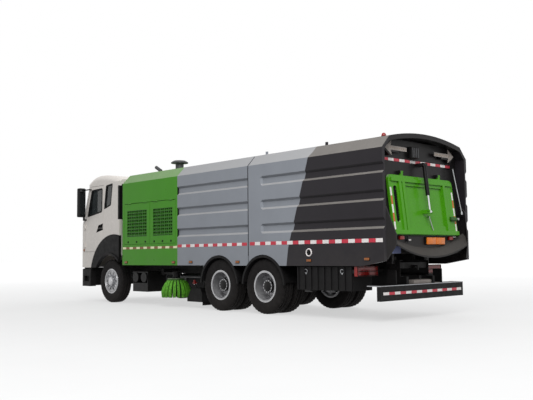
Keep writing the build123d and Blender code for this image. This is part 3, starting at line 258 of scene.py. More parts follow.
def noise(tree, scale, detail=4.0, roughness=0.55):
    values = {"Vector": coordinates(tree), "Scale": scale, "Detail": detail, "Roughness": roughness}
    return add(tree, "TexNoise", values)["Fac"]


def cells(tree, scale):
    """Distance from the middles of small cells."""
    return add(tree, "TexVoronoi", {"Vector": coordinates(tree), "Scale": scale})["Distance"]


def ramp(tree, value, stops):
    node = tree.nodes.new("ShaderNodeValToRGB")
    elements = node.color_ramp.elements
    while len(elements) < len(stops):
        elements.new(0.5)
    for element, (place, tint) in zip(elements, stops):
        element.position = place
        element.color = tint
    fill(node, {"Fac": value})
    return node.outputs["Color"]


def mottled(tree, tint, scale, low, high, detail=5.0, high_at=0.7):
    """A tint that wanders between a darker and a lighter shade."""
    return ramp(tree, noise(tree, scale, detail), [(0.3, shade(tint, low)), (high_at, shade(tint, high))])


def blend_colour(tree, factor, low, high):
    node = tree.nodes.new("ShaderNodeMix")
    node.data_type = "RGBA"
    first, second = [i for i, socket in enumerate(node.inputs) if socket.type == "RGBA"]
    fill(node, {"Factor": factor, first: low, second: high})
    return [socket for socket in node.outputs if socket.type == "RGBA"][0]


def range_map(tree, value, low, high, out_low, out_high):
    values = {"Value": value, "From Min": low, "From Max": high, "To Min": out_low, "To Max": out_high}
    return add(tree, "MapRange", values)["Result"]


def combine(tree, first, second, operation="MULTIPLY"):
    node = tree.nodes.new("ShaderNodeMath")
    node.operation = operation
    fill(node, {0: first, 1: second})
    return node.outputs["Value"]


def bump(tree, shader, value, strength, distance):
    made = add(tree, "Bump", {"Strength": strength, "Distance": distance, "Height": value})
    fill(shader, {"Normal": made["Normal"]})


def dusty(tree, source, dust, low_z, high_z, most):
    """Road dust that thickens towards the road, broken up by noise."""
    level = range_map(tree, axes(tree)["Z"], low_z, high_z, most, 0.0)
    patches = range_map(tree, noise(tree, 5.0, 6.0, 0.65), 0.35, 0.7, 0.25, 1.0)
    return blend_colour(tree, combine(tree, level, patches), source, dust)


def looks_up(tree, most):
    """Rises to a given amount on faces that look up."""
    return range_map(tree, axes(tree, "Normal")["Z"], 0.30, 0.70, 0.0, most)


def settled(tree, source, most):
    """Pale dust that settles on faces that look up."""
    patches = range_map(tree, noise(tree, 3.0, 6.0, 0.6), 0.3, 0.7, 0.85, 1.0)
    return blend_colour(tree, combine(tree, looks_up(tree, most), patches), source, ROOF_DUST)


def finish_surface(tree, shader, rough, spread, bump_scale, bump_strength, dulled=0.0):
    """Uneven roughness and a fine bump."""
    roughness = range_map(tree, noise(tree, 9.0, 6.0, 0.6), 0.3, 0.7, rough - spread, rough + spread)
    if dulled:
        roughness = combine(tree, roughness, looks_up(tree, dulled), "ADD")
    fill(shader, {"Roughness": roughness})
    bump(tree, shader, noise(tree, bump_scale, 3.0), bump_strength, 0.001)


def painted(tree, shader, source, rough, most, roof=0.0, dust_top=1.7):
    """Soft gloss paint of a given colour, with dust on its roofs and low down."""
    if roof:
        source = settled(tree, source, roof)
    finish_surface(tree, shader, rough, 0.05, 45.0, 0.012, ROOF_DULL)
    fill(shader, {
        "Base Color": dusty(tree, source, LOW_DUST, 0.7, dust_top, most),
        "Specular IOR Level": 0.17, "Coat Weight": 0.05, "Coat Roughness": 0.15})


def paint(name, tint, rough=0.32, most=0.16, roof=0.38):
    tree, shader = new_material(name)
    painted(tree, shader, mottled(tree, tint, 2.2, 0.96, 1.03), rough, most, roof)


def two_tone(name, light, dark):
    """Silver at the front, charcoal at the rear, parted by a line that leans back as it rises."""
    tree, shader = new_material(name)
    place = axes(tree)
    (foot_z, foot_x), (bend_z, bend_x), (top_z, top_x) = PARTING
    lower = range_map(tree, place["Z"], foot_z, bend_z, foot_x, bend_x)
    upper = range_map(tree, place["Z"], bend_z, top_z, 0.0, top_x - bend_x)
    edge = combine(tree, lower, upper, "ADD")
    behind = combine(tree, edge, place["X"], "SUBTRACT")
    factor = range_map(tree, behind, -0.004, 0.004, 0.0, 1.0)
    pale, deep = mottled(tree, light, 2.2, 0.96, 1.03), mottled(tree, dark, 2.2, 0.92, 1.06)
    painted(tree, shader, blend_colour(tree, factor, pale, deep), 0.34, 0.12, 0.38, 1.6)


def within(tree, value, low, high, soft=0.004):
    """One between two limits and nothing outside them."""
    above = range_map(tree, value, low - soft, low, 0.0, 1.0)
    below = range_map(tree, value, high, high + soft, 1.0, 0.0)
    return combine(tree, above, below)


def louvred(name, tint, shade_tint):
    """Door paint, darker over the louvred fields as a painted shade of their slits."""
    tree, shader = new_material(name)
    place = axes(tree)
    fields = [within(tree, place["X"], rear + LOUVRE_MARGIN, front - LOUVRE_MARGIN)
              for label, rear, front in MODULE_DOORS]
    across = combine(tree, fields[0], fields[1], "MAXIMUM")
    factor = combine(tree, across, within(tree, place["Z"], *LOUVRES))
    pale, deep = mottled(tree, tint, 2.2, 0.96, 1.03), mottled(tree, shade_tint, 2.2, 0.9, 1.08)
    painted(tree, shader, blend_colour(tree, factor, pale, deep), 0.32, 0.16)


def plastic(name, tint, rough=0.6, grain=220.0, most=0.07):
    tree, shader = new_material(name)
    soiled = dusty(tree, mottled(tree, tint, 6.0, 0.8, 1.25), colour(74, 70, 64), 0.0, 1.0, most)
    fill(shader, {"Base Color": soiled, "Specular IOR Level": 0.18})
    finish_surface(tree, shader, rough, 0.1, grain, 0.15)


def rubber(name, tint):
    tree, shader = new_material(name)
    worn = mottled(tree, tint, 14.0, 0.75, 1.5, 6.0, 0.72)
    soiled = dusty(tree, worn, colour(84, 78, 70), 0.0, 0.8, 0.10)
    fill(shader, {"Base Color": soiled, "Specular IOR Level": 0.16})
    finish_surface(tree, shader, 0.78, 0.1, 160.0, 0.2)


def metal(name, tint, rough=0.35, metallic=1.0, most=0.14):
    tree, shader = new_material(name)
    soiled = dusty(tree, mottled(tree, tint, 12.0, 0.82, 1.08, 6.0), colour(70, 62, 52), 0.0, 1.1, most)
    specular = 0.5 if metallic else 0.2
    fill(shader, {"Base Color": soiled, "Metallic": metallic, "Specular IOR Level": specular})
    finish_surface(tree, shader, rough, 0.1, 120.0, 0.08)


def lens(name, tint, glow=0.0, front_tint=None):
    """Moulded lamp lens with a fine optic grid, of another tint at the truck's front if one is given."""
    tree, shader = new_material(name)
    grid = cells(tree, 90.0)
    tints = ramp(tree, grid, [(0.1, shade(tint, 1.12)), (0.75, shade(tint, 0.72))])
    if front_tint:
        ahead = range_map(tree, axes(tree)["X"], -0.01, 0.01, 0.0, 1.0)
        tints = blend_colour(tree, ahead, tints, front_tint)
    bump(tree, shader, grid, 0.25, 0.002)
    fill(shader, {
        "Base Color": tints, "Roughness": 0.18, "Specular IOR Level": 0.3, "Coat Weight": 0.25,
        "Coat Roughness": 0.08, "Emission Color": tint, "Emission Strength": glow})


def window(name):
    """Tinted pane with a faint film of dust."""
    tree, shader = new_material(name)
    film = ramp(tree, noise(tree, 3.0, 6.0), [(0.35, colour(58, 64, 66)), (0.75, colour(92, 98, 98))])
    smears = range_map(tree, noise(tree, 6.0, 5.0), 0.3, 0.7, 0.02, 0.1)
    fill(shader, {
        "Base Color": film, "Roughness": smears, "Transmission Weight": 0.8, "IOR": 1.25,
        "Coat Weight": 0.5})


def reflector(name, tint):
    """Retroreflective tape with a fine cell pattern."""
    tree, shader = new_material(name)
    fill(shader, {"Base Color": mottled(tree, tint, 20.0, 0.86, 1.0), "Roughness": 0.35})
    bump(tree, shader, cells(tree, 160.0), 0.1, 0.001)


def fabric(name, tint):
    tree, shader = new_material(name)
    fill(shader, {"Base Color": mottled(tree, tint, 30.0, 0.7, 1.3, 6.0), "Roughness": 0.9})
    weave = add(tree, "TexWave", {"Scale": 160.0, "Distortion": 1.5})
    bump(tree, shader, weave["Fac"], 0.3, 0.002)


def bristles(name, tint):
    tree, shader = new_material(name)
    tints = ramp(tree, noise(tree, 24.0, 6.0), [
        (0.25, shade(tint, 0.35)), (0.5, tint), (0.75, shade(tint, 1.45))])
    fill(shader, {"Base Color": dusty(tree, tints, colour(60, 66, 44), 0.15, 0.5, 0.45)})
    finish_surface(tree, shader, 0.5, 0.1, 90.0, 0.2)


def materials():
    paint("green_paint", GREEN)
    paint("door_green", colour(72, 146, 20), 0.28, most=0.12)
    paint("silver_paint", SILVER, 0.34)
    two_tone("two_tone", SILVER, CHARCOAL)
    paint("charcoal_paint", CHARCOAL, 0.34, most=0.2)
    # Charcoal of the rear frame darkened to near black: painted shade
    paint("rear_shaded_charcoal", colour(23, 21, 22), 0.4, most=0.1, roof=0.10)
    paint("cab_white", colour(219, 213, 207), 0.26, most=0.08, roof=0.12)
    paint("dark_green", colour(44, 88, 30), 0.4, most=0.15)
    paint("plate_blue", colour(150, 160, 205), 0.4, most=0.1)
    # Darker green over the louvred fields is painted shade
    louvred("louvre_green", GREEN, colour(48, 104, 26))
    metal("frame_black", colour(18, 16, 17), 0.55, 0.0, 0.05)
    metal("engine_grey", colour(70, 70, 72), 0.55, 0.3, 0.08)
    metal("tank_black", BLACK, 0.4, 0.0, 0.05)
    metal("chrome_rod", colour(215, 216, 218), 0.15, 1.0, 0.05)
    metal("wheel_silver", colour(178, 178, 180), 0.36, 0.65, 0.3)
    metal("bright_rim", colour(205, 205, 207), 0.22, 0.9, 0.15)
    metal("bolt_steel", colour(172, 173, 176), 0.4)
    # Mirror made dark: a painted reflection of dark surroundings
    metal("mirror_glass", colour(96, 100, 102), 0.06, 1.0, 0.0)
    plastic("trim_black", BLACK)
    # Near black that paints the shade inside slots, pockets, grille openings and louvres
    plastic("dark_gap", colour(12, 12, 13), 0.9)
    plastic("arrow_grey", colour(158, 150, 144), 0.5, 90.0, 0.0)
    window("glass")
    fabric("seat_fabric", colour(52, 50, 54))
    rubber("tyre", colour(22, 20, 20))
    bristles("bristle_green", colour(88, 160, 36))
    # Dark green of the inner strands is painted shade inside the brush
    bristles("bristle_shade", colour(24, 46, 18))
    lens("lens", LAMP_RED, 0.05)
    lens("lamp_pair", LAMP_RED, 0.05, LAMP_CLEAR)
    lens("lamp_white", LAMP_CLEAR)
    lens("amber", colour(222, 118, 22), 0.08)
    lens("amber_dull", colour(150, 86, 34))
    lens("arrow_stud", colour(176, 150, 120))
    reflector("tape_red", colour(196, 40, 62))
    reflector("tape_white", colour(236, 230, 228))
    reflector("tape_cream", colour(236, 232, 190))
    reflector("tape_brown", colour(128, 84, 34))
    reflector("tape_orange", colour(200, 92, 30))


# Nodes that show another material than their slot's
NODE_MATERIAL = {
    "hopper_sides": "two_tone", "hopper_roof": "two_tone", "lamps": "lamp_pair", "rear_frame": "rear_shaded_charcoal",
    **{f"module_door_{door[0]}_{hand}": "louvre_green" for door in MODULE_DOORS for side, hand in HANDS},
}


def dress_nodes():
    slots = {part["node"]: part["material_slot"] for part in frame["record"]["subparts"]}
    for name, node in frame["nodes"].items():
        node.data.materials.clear()
        node.data.materials.append(MATERIALS[NODE_MATERIAL.get(name, slots[name])])


def either(side, first, second):
    return sorted((side * first, side * second))


def span(middle, half):
    return middle - half, middle + half


def turns(count, start=0.0):
    """Even angles round a circle."""
    return [2 * math.pi * (i + start) / count for i in range(count)]


def polar(u, v, radius, turn):
    """A point round a middle."""
    return u + radius * math.cos(turn), v + radius * math.sin(turn)


def shares(low, high, count):
    """Middles of even shares of a length."""
    return [low + (high - low) * (i + 0.5) / count for i in range(count)]


def inset(points, distance):
    """Moves every side of a convex outline inwards."""
    following = points[1:] + points[:1]
    area = sum(a[0] * b[1] - b[0] * a[1] for a, b in zip(points, following))
    turn = 1 if area > 0 else -1
    lines = []
    for (ax, ay), (bx, by) in zip(points, following):
        length = math.hypot(bx - ax, by - ay)
        nx, ny = -turn * (by - ay) / length, turn * (bx - ax) / length
        lines.append((nx, ny, nx * ax + ny * ay + distance))
    moved = []
    for (px, py, pc), (qx, qy, qc) in zip(lines[-1:] + lines[:-1], lines):
        spread = px * qy - py * qx
        moved.append(((pc * qy - qc * py) / spread, (px * qc - qx * pc) / spread))
    return moved


def rounded(points, radius, steps=5):
    """Replaces the corners of a convex outline by short arcs."""
    smooth = []
    for before, corner, after in zip(points[-1:] + points[:-1], points, points[1:] + points[:1]):
        corner, before, after = Vector(corner), Vector(before), Vector(after)
        start = corner + (before - corner).normalized() * radius
        end = corner + (after - corner).normalized() * radius
        for i in range(steps + 1):
            t = i / steps
            smooth.append(tuple((1 - t) ** 2 * start + 2 * t * (1 - t) * corner + t * t * end))
    return smooth


def door_x(z):
    """Where the leaning face of the rear door is at a height."""
    return DOOR_LOW_X + (z - DOOR_LOW) * LEAN


def leaf(low, high, proud, deep):
    """Side outline of a strip on the leaning face of the rear door."""
    low_x, high_x = door_x(low), door_x(high)
    return [(low_x - proud, low), (high_x - proud, high), (high_x + deep, high), (low_x + deep, low)]


def on_screen(y, rise, gap):
    """A point just ahead of the windscreen, by its height above the belt."""
    return CAB_FRONT - rise * SCREEN_SLOPE - gap, y, BELT + rise


def ring_of(outline, axis, along):
    """Points of an outline that lies across an axis."""
    where = "XYZ".index(axis)
    return [(*point[:where], along, *point[where:]) for point in outline]


class Shape:
    """Collects simple solids into one mesh piece."""

    def __init__(self):
        self.bm = bmesh.new()

    def box(self, low, high, bevel=0.0, segments=2):
        size = [h - l for l, h in zip(low, high)]
        centre = [(h + l) / 2 for l, h in zip(low, high)]
        matrix = Matrix.Translation(centre) @ Matrix.Diagonal((*size, 1.0))
        made = bmesh.ops.create_cube(self.bm, size=1.0, matrix=matrix)
        if bevel:
            edges = list(dict.fromkeys(e for v in made["verts"] for e in v.link_edges))
            bmesh.ops.bevel(
                self.bm, geom=edges, offset=bevel, segments=segments, affect="EDGES", profile=0.5)

    def side_box(self, side, ys, xs, zs, bevel=0.0, segments=2):
        """A box on one side of the truck, by distances from its middle."""
        near, far = either(side, *ys)
        self.box((xs[0], near, zs[0]), (xs[1], far, zs[1]), bevel, segments)

    def rear_box(self, face, proud, ys, zs, bevel, segments=2, sink=SUNK):
        """A box that stands proud of a face that looks back."""
        self.box((face - proud, ys[0], zs[0]), (face + sink, ys[1], zs[1]), bevel, segments)

    def rod(self, start, end, radius, end_radius=None, sides=16):
        start, end = Vector(start), Vector(end)
        along = end - start
        turn = along.to_track_quat("Z", "Y").to_matrix().to_4x4()
        matrix = Matrix.Translation((start + end) / 2) @ turn
        bmesh.ops.create_cone(
            self.bm, cap_ends=True, segments=sides, radius1=radius,
            radius2=radius if end_radius is None else end_radius, depth=along.length, matrix=matrix)

    def stud(self, side, x, z, start, end, radius, end_radius=None, sides=16):
        """A rod across the truck, between two distances from its middle."""
        self.rod((x, side * start, z), (x, side * end, z), radius, end_radius, sides)

    def skin(self, rings, wrap=True):
        """Joins rings of points by faces, and caps the first and last where they don't meet."""
        made = [[self.bm.verts.new(point) for point in ring] for ring in rings]
        for one, two in zip(made, made[1:] + made[:1] if wrap else made[1:]):
            for i in range(len(one)):
                j = (i + 1) % len(one)
                self.bm.faces.new((one[i], one[j], two[j], two[i]))
        if not wrap:
            self.bm.faces.new(made[0][::-1])
            self.bm.faces.new(made[-1])

    def lathe(self, centre, axis, profile, sides=48):
        """Turns (radius, distance along axis) points round an axis of +Y or +Z."""
        x, y, z = centre
        rings = []
        for a in turns(sides):
            c, s = math.cos(a), math.sin(a)
            if axis == "Y":
                rings.append([(x + r * c, y + along, z + r * s) for r, along in profile])
            else:
                rings.append([(x + r * c, y + r * s, z + along) for r, along in profile])
        self.skin(rings)

    def strand(self, points, radii, sides=5):
        """A thin upright tube through a few points."""
        rings = []
        for (x, y, z), radius in zip(points, radii):
            rings.append([(*polar(x, y, radius, a), z) for a in turns(sides)])
        self.skin(rings, wrap=False)

    def loop(self, outline, width, axis, low, high):
        """A frame of even width that follows an outline."""
        inner = inset(outline, width)
        course = ((outline, low), (outline, high), (inner, high), (inner, low))
        self.skin([ring_of(points, axis, along) for points, along in course])

    def prism(self, outline, axis, low, high):
        """Extrudes a closed outline of the other two coordinates along one axis."""
        self.skin([ring_of(outline, axis, low), ring_of(outline, axis, high)], wrap=False)

    def torus(self, centre, axis, radius, thick, sides=40, around=12):
        section = [polar(radius, 0.0, thick, a) for a in turns(around)]
        self.lathe(centre, axis, section, sides)

    def dome(self, centre, radius, rise, sides=24, foot=0.006, steps=6, tip=0.0005):
        section = [(radius, -foot), (radius, 0.0)]
        for i in range(1, steps + 1):
            a = math.pi / 2 * i / steps
            section.append((max(radius * math.cos(a), tip), rise * math.sin(a)))
        section.append((tip, -foot))
        self.lathe(centre, "Z", section, sides)

    def piece(self, name, material, body, slot=None):
        bmesh.ops.recalc_face_normals(self.bm, faces=self.bm.faces)
        mesh = bpy.data.meshes.new(name)
        self.bm.to_mesh(mesh)
        self.bm.free()
        mesh.materials.append(MATERIALS[material])
        mesh.shade_smooth()
        mesh.set_sharp_from_angle(angle=math.radians(32))
        made = bpy.data.objects.new(name, mesh)
        bpy.context.scene.collection.objects.link(made)
        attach(made, body)
        return made


def shapes(count):
    return [Shape() for i in range(count)]


def tyres(name, station, centres, body, node):
    """Tyres with ribbed treads and notched shoulders."""
    half = list(TYRE_WALL) + list(TREAD_RIBS)
    section = half + [(r, -y) for r, y in half[::-1]]
    shape = Shape()
    for centre in centres:
        rings = []
        for step, a in enumerate(turns(TREAD_STEPS)):
            notch = NOTCH_DEPTH if step % NOTCH_EVERY == 0 else 0.0
            ring = []
            for r, y in section:
                shoulder = SHOULDER_R < r and SHOULDER_Y[0] < abs(y) < SHOULDER_Y[1]
                x, z = polar(station, TYRE_R, r - notch if shoulder else r, a)
                ring.append((x, centre + y, z))
            rings.append(ring)
        shape.skin(rings)
    made = shape.piece(name, "tyre", body)
    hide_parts(node)


def wheel_nuts(name, station, face, side, body, circle):
    """Washers, nuts and stud ends round a wheel disc."""
    shape = Shape()
    for a in turns(NUTS, 0.5):
        x, z = polar(station, TYRE_R, circle, a)
        shape.stud(side, x, z, face, face + 0.008, 0.024, sides=20)
        shape.stud(side, x, z, face + 0.006, face + 0.034, 0.0185, 0.016, sides=6)
        shape.stud(side, x, z, face + 0.034, face + 0.046, 0.010, sides=12)
    shape.piece(name, "bolt_steel", body)


def wheels():
    for side, hand in HANDS:
        body = f"wheel_front_{hand}"
        station = AXLES["front"]
        tyres(f"tread_front_{hand}", station, [side * FRONT_TYRE_Y], body, f"tyre_front_{hand}")
        wheel_nuts(f"nuts_front_{hand}", station, FRONT_DISC_Y, side, body, FRONT_NUTS_R)
        for place in ("mid", "rear"):
            body = f"wheels_{place}_{hand}"
            centres = [side * y for y in TWIN_TYRES_Y]
            tyres(f"tread_{place}_{hand}", AXLES[place], centres, body, f"tyres_{place}_{hand}")
            wheel_nuts(f"nuts_{place}_{hand}", AXLES[place], TWIN_DISC_Y, side, body, TWIN_NUTS_R)


def hub_caps():
    """Hubs, hub bolts and bright rings of the rims."""
    bolt_circle = 0.108
    for side, hand in HANDS:
        front, station = Shape(), AXLES["front"]
        front.lathe((station, 0.0, TYRE_R), "Y", [(r, side * y) for r, y in FRONT_HUB])
        for radius, thick in ((0.292, 0.007), (0.240, 0.005)):
            front.torus((station, side * 1.152, TYRE_R), "Y", radius, thick, 64, 8)
        front.piece(f"hub_front_{hand}", "bright_rim", f"wheel_front_{hand}")
        for place in ("mid", "rear"):
            hub, lip, station = Shape(), Shape(), AXLES[place]
            hub.lathe((station, 0.0, TYRE_R), "Y", [(r, side * y) for r, y in TWIN_HUB])
            for a in turns(12):
                x, z = polar(station, TYRE_R, bolt_circle, a)
                hub.stud(side, x, z, 1.142, 1.156, 0.009, sides=6)
            lip.torus((station, side * 1.216, TYRE_R), "Y", 0.294, 0.007, 64, 8)
            hub.piece(f"hub_{place}_{hand}", "tank_black", f"wheels_{place}_{hand}")
            lip.piece(f"rim_lip_{place}_{hand}", "bright_rim", f"wheels_{place}_{hand}")


def strip(first, second, axis, start, stop, block, low, high):
    """Lays plates of two shapes in turn along one axis of a box between two corners."""
    count = max(2, round((stop - start) / block))
    step = (stop - start) / count
    where = "XYZ".index(axis)
    for i in range(count):
        near, far = list(low), list(high)
        near[where] = start + i * step + BLOCK_GAP
        far[where] = start + (i + 1) * step - BLOCK_GAP
        (first, second)[i % 2].box(near, far, 0.0008, 1)


def tape_pair(name, body, first, second, one, two):
    first.piece(f"tape_{name}_a", one, body)
    second.piece(f"tape_{name}_b", two, body)


def tapes():
    """Reflecting tape along both sides, across the bumper, over the rear door and on it."""
    for name, body, start, stop, low, high, one, two in SIDE_TAPES:
        first, second = shapes(2)
        for side in SIDES:
            inner, outer = either(side, HALF_WIDTH - SUNK, HALF_WIDTH + 0.0022)
            strip(first, second, "X", start, stop, SIDE_BLOCK, (0, inner, low), (0, outer, high))
        tape_pair(name, body, first, second, one, two)
    first, second = shapes(2)
    face, half = REAR_EDGE + 0.1165, 1.167
    strip(first, second, "Y", -half, half, REAR_BLOCK, (face, 0, 0.440), (face + 0.0045, 0, 0.486))
    tape_pair("bumper", "chassis", first, second, "tape_white", "tape_red")
    first, second = shapes(2)
    face, half = JAMB_HIGH_X, 1.016
    strip(first, second, "Y", -half, half, REAR_BLOCK, (face - 0.003, 0, 2.682), (face + SUNK, 0, 2.730))
    tape_pair("lintel", "hopper", first, second, "tape_red", "tape_white")
    first, second = shapes(2)
    foot, pitch, length = 1.500, 0.145, 0.142
    for side in SIDES:
        for i in range(5):
            base = foot + i * pitch
            outline = leaf(base, base + length, 0.0025, SUNK)
            (first, second)[i % 2].prism(outline, "Y", *either(side, 0.902, 0.942))
    tape_pair("door", "rear_door", first, second, "tape_white", "tape_orange")


def arrow_boards():
    """Barbed arrows that point outwards, with a row of small studs along each shaft."""
    shape, studs = shapes(2)
    face = REAR_EDGE + 0.125
    middle = KNEE + 0.040
    barb_half, shaft_half = 0.122, 0.036
    for side in SIDES:
        tip, barb, notch, end = side * 1.045, side * 0.850, side * 0.880, side * 0.420
        root = notch + side * 0.05
        head = [(tip, middle), (barb, middle + barb_half), (notch, middle), (barb, middle - barb_half)]
        shaft = [(root, middle + shaft_half), (end, middle + shaft_half),
                 (end, middle - shaft_half), (root, middle - shaft_half)]
        shape.prism(head, "X", face - 0.005, face + 0.004)
        shape.prism(shaft, "X", face - 0.004, face + 0.004)
        for row in range(8):
            y = side * (0.455 + row * 0.060)
            studs.rod((face - 0.007, y, middle), (face - 0.003, y, middle), 0.011, 0.008, 14)
    shape.piece("arrow_faces", "arrow_grey", "hopper")
    studs.piece("arrow_studs", "arrow_stud", "hopper")


def rear_lamps():
    """Lamps, marks, latches and blank plate below the rear door."""
    orange, red, white, black = shapes(4)
    face, latch_y = JAMB_LOW_X, 0.57
    for low_y, high_y in ((-0.245, 0.025), (-0.525, -0.255)):
        black.rear_box(face, 0.020, (low_y - 0.012, high_y + 0.012), (1.258, 1.402), 0.006)
        orange.rear_box(face, 0.050, (low_y, high_y), (1.268, 1.392), 0.010, 3, sink=-0.019)
    for side in SIDES:
        y = side * latch_y
        red.rear_box(face, 0.045, either(side, 0.68, 0.80), (1.345, 1.412), 0.012, 3)
        black.rod((face - 0.02, y, 1.300), (face - 0.02, y, 1.410), 0.011)
        black.rear_box(face, 0.034, span(y, 0.02), (1.325, 1.352), 0.004)
    for low_y, high_y, base in ((0.44, 0.56, 1.330), (-0.95, -0.84, 1.392)):
        white.rear_box(face, 0.006, (low_y, high_y), (base, base + 0.026), 0.002)
    orange.piece("rear_signals", "amber", "hopper")
    red.piece("rear_markers", "lens", "hopper")
    white.piece("rear_marks", "tape_white", "hopper")
    black.piece("rear_latches", "trim_black", "hopper")
    plate, rim = shapes(2)
    outline = rounded([(0.745, 1.117), (1.135, 1.117), (1.135, 1.235), (0.745, 1.235)], 0.015)
    plate.prism(outline, "X", face - 0.005, face + SUNK)
    rim.loop(outline, 0.009, "X", face - 0.009, face)
    plate.piece("blank_plate", "plate_blue", "hopper")
    rim.piece("plate_rim", "plate_blue", "hopper")


def rear_frame_trim():
    """Stay rod at the right, finned box over the door and roof markers."""
    rod, dark, dome, fins = shapes(4)
    top = (REAR_EDGE + 0.100, -0.960, 2.680)
    foot = (REAR_EDGE + 0.020, -1.100, 1.850)
    rod.rod(top, foot, 0.011)
    rod.rod((foot[0], foot[1], 1.820), (foot[0], foot[1], 1.872), 0.024, 0.018)
    for (x, y, z), wall, zs in ((top, JAMB_HIGH_X + 0.002, (2.655, 2.678)),
                                (foot, JAMB_LOW_X + 0.060, (1.800, 1.824))):
        dark.box((x - 0.016, y - 0.02, zs[0]), (wall, y + 0.02, zs[1]), 0.004)
    dark.rear_box(JAMB_HIGH_X, 0.080, (0.06, 0.30), (2.760, 2.960), 0.012, sink=0.002)
    for i in range(4):
        y = 0.085 + i * 0.052
        fins.rear_box(JAMB_HIGH_X, 0.086, (y, y + 0.026), (2.775, 2.945), 0.002, sink=-0.079)
    for side in SIDES:
        dome.dome((REAR_EDGE + 0.14, side * 1.030, EDGE_Z + 0.014), 0.042, 0.052)
    rod.piece("stay_rod", "bolt_steel", "hopper")
    dark.piece("lintel_box", "trim_black", "hopper")
    fins.piece("lintel_fins", "engine_grey", "hopper")
    dome.piece("roof_markers", "lens", "hopper")


def door_trim():
    """Barred slot, latch and hook rod of the rear door."""
    slot, latch, knob = shapes(3)
    slot_low, slot_high, slot_y, slot_half = 1.690, 2.200, 0.795, 0.054
    depth, bar_depth = 0.026, 0.016
    for end in (slot_low, slot_high):
        x = door_x(end) + depth
        slot.rod((x, slot_y, end), (x + 0.004, slot_y, end), slot_half, sides=32)
    slot.prism(leaf(slot_low, slot_high, -depth, 0.030), "Y", *span(slot_y, slot_half))
    for row in range(14):
        base = slot_low + row * 0.037
        slot.prism(leaf(base, base + 0.016, -bar_depth, 0.030), "Y", *span(slot_y, slot_half - 0.001))
    latch.prism(leaf(1.690, 1.770, 0.030, 0.001), "Y", -0.900, -0.760)
    latch.prism(leaf(1.712, 1.745, 0.052, -0.020), "Y", -0.940, -0.720)
    knob_y, knob_z = -0.935, 1.730
    x = door_x(knob_z)
    knob.rod((x - 0.070, knob_y, knob_z), (x - 0.040, knob_y, knob_z), 0.022, 0.026)
    hook = [(door_x(z), y, z) for y, z in ((-0.075, 1.745), (-0.170, 1.465))]
    knob.rod(*[(x - 0.018, y, z) for x, y, z in hook], 0.008)
    for x, y, z in hook:
        knob.rod((x - 0.028, y, z), (x + 0.070, y, z), 0.012)
    # The slot's dark block and bars are painted shade
    slot.piece("door_slot", "dark_gap", "rear_door")
    latch.piece("door_latch", "dark_green", "rear_door")
    knob.piece("door_knob", "bolt_steel", "rear_door")


def bumper_trim():
    """Edging and step plates of the rear bumper, and bars that guard the rear lamps."""
    edge, plate, guard = shapes(3)
    edge.box((REAR_EDGE + 0.116, -1.231, 0.581), (REAR_EDGE + 0.128, 1.231, 0.5935), 0.002)
    for side in SIDES:
        edge.side_box(side, (1.2295, 1.234), (REAR_EDGE + 0.120, REAR_EDGE + 0.400), (0.577, 0.5935), 0.0015)
    back, front, step_top = REAR_EDGE + 0.215, REAR_EDGE + 0.385, 0.655
    plate.box((back, -0.640, 0.588), (front, -0.440, 0.597), 0.003)
    plate.box((back, -0.385, 0.588), (front, 0.165, step_top), 0.012)
    for row in range(13):
        y = -0.362 + row * 0.042
        plate.rod((back + 0.015, y, step_top), (front - 0.015, y, step_top), 0.005, sides=8)
    edge.piece("bumper_edging", "bolt_steel", "chassis")
    plate.piece("step_treads", "arrow_grey", "chassis")
    x, bar_r = REAR_EDGE + 0.583, 0.006
    for side in SIDES:
        inner, outer = either(side, 0.690, 1.236)
        for z in (0.752, 0.822, 0.894):
            guard.rod((x, inner, z), (x, outer, z), bar_r, sides=10)
        for y in (inner, outer):
            guard.rod((x, y, 0.748), (x, y, 0.898), bar_r, sides=10)
    guard.piece("lamp_guards", "trim_black", "chassis")


def side_markers():
    """Amber marker lamps, filler rings and locker catches along both sides."""
    for body, places in SIDE_LAMPS.items():
        lamp, base = shapes(2)
        base_y, lamp_y = (HALF_WIDTH - SUNK, HALF_WIDTH + 0.005), (HALF_WIDTH + 0.004, HALF_WIDTH + 0.018)
        for x, z in places:
            for side in SIDES:
                base.side_box(side, base_y, span(x, 0.060), span(z, 0.028), 0.002)
                lamp.side_box(side, lamp_y, span(x, 0.052), span(z, 0.021), 0.006, 3)
        lamp.piece(f"side_lamps_{body}", "amber_dull", body)
        base.piece(f"side_lamp_bases_{body}", "trim_black", body)
    ring, cap, catch = shapes(3)
    filler_x, filler_z, locker_y = -3.234, 1.151, 1.2155
    for side in SIDES:
        ring.torus((filler_x, side * (HALF_WIDTH + 0.006), filler_z), "Y", 0.062, 0.012)
        cap.stud(side, filler_x, filler_z, HALF_WIDTH - SUNK, HALF_WIDTH + 0.010, 0.052, 0.048, 32)
        cap.stud(side, filler_x, filler_z, HALF_WIDTH + 0.009, HALF_WIDTH + 0.022, 0.018, 0.015, 6)
        for x in (-3.944, -3.100):
            catch.torus((x, side * (locker_y + 0.006), 0.822), "Y", 0.034, 0.006, 28, 8)
            catch.side_box(side, (1.214, 1.222), span(x, 0.014), (0.768, 0.796), 0.003)
    ring.piece("filler_ring", "tape_white", "hopper")
    cap.piece("filler_cap", "trim_black", "hopper")
    catch.piece("locker_catches", "bolt_steel", "chassis")


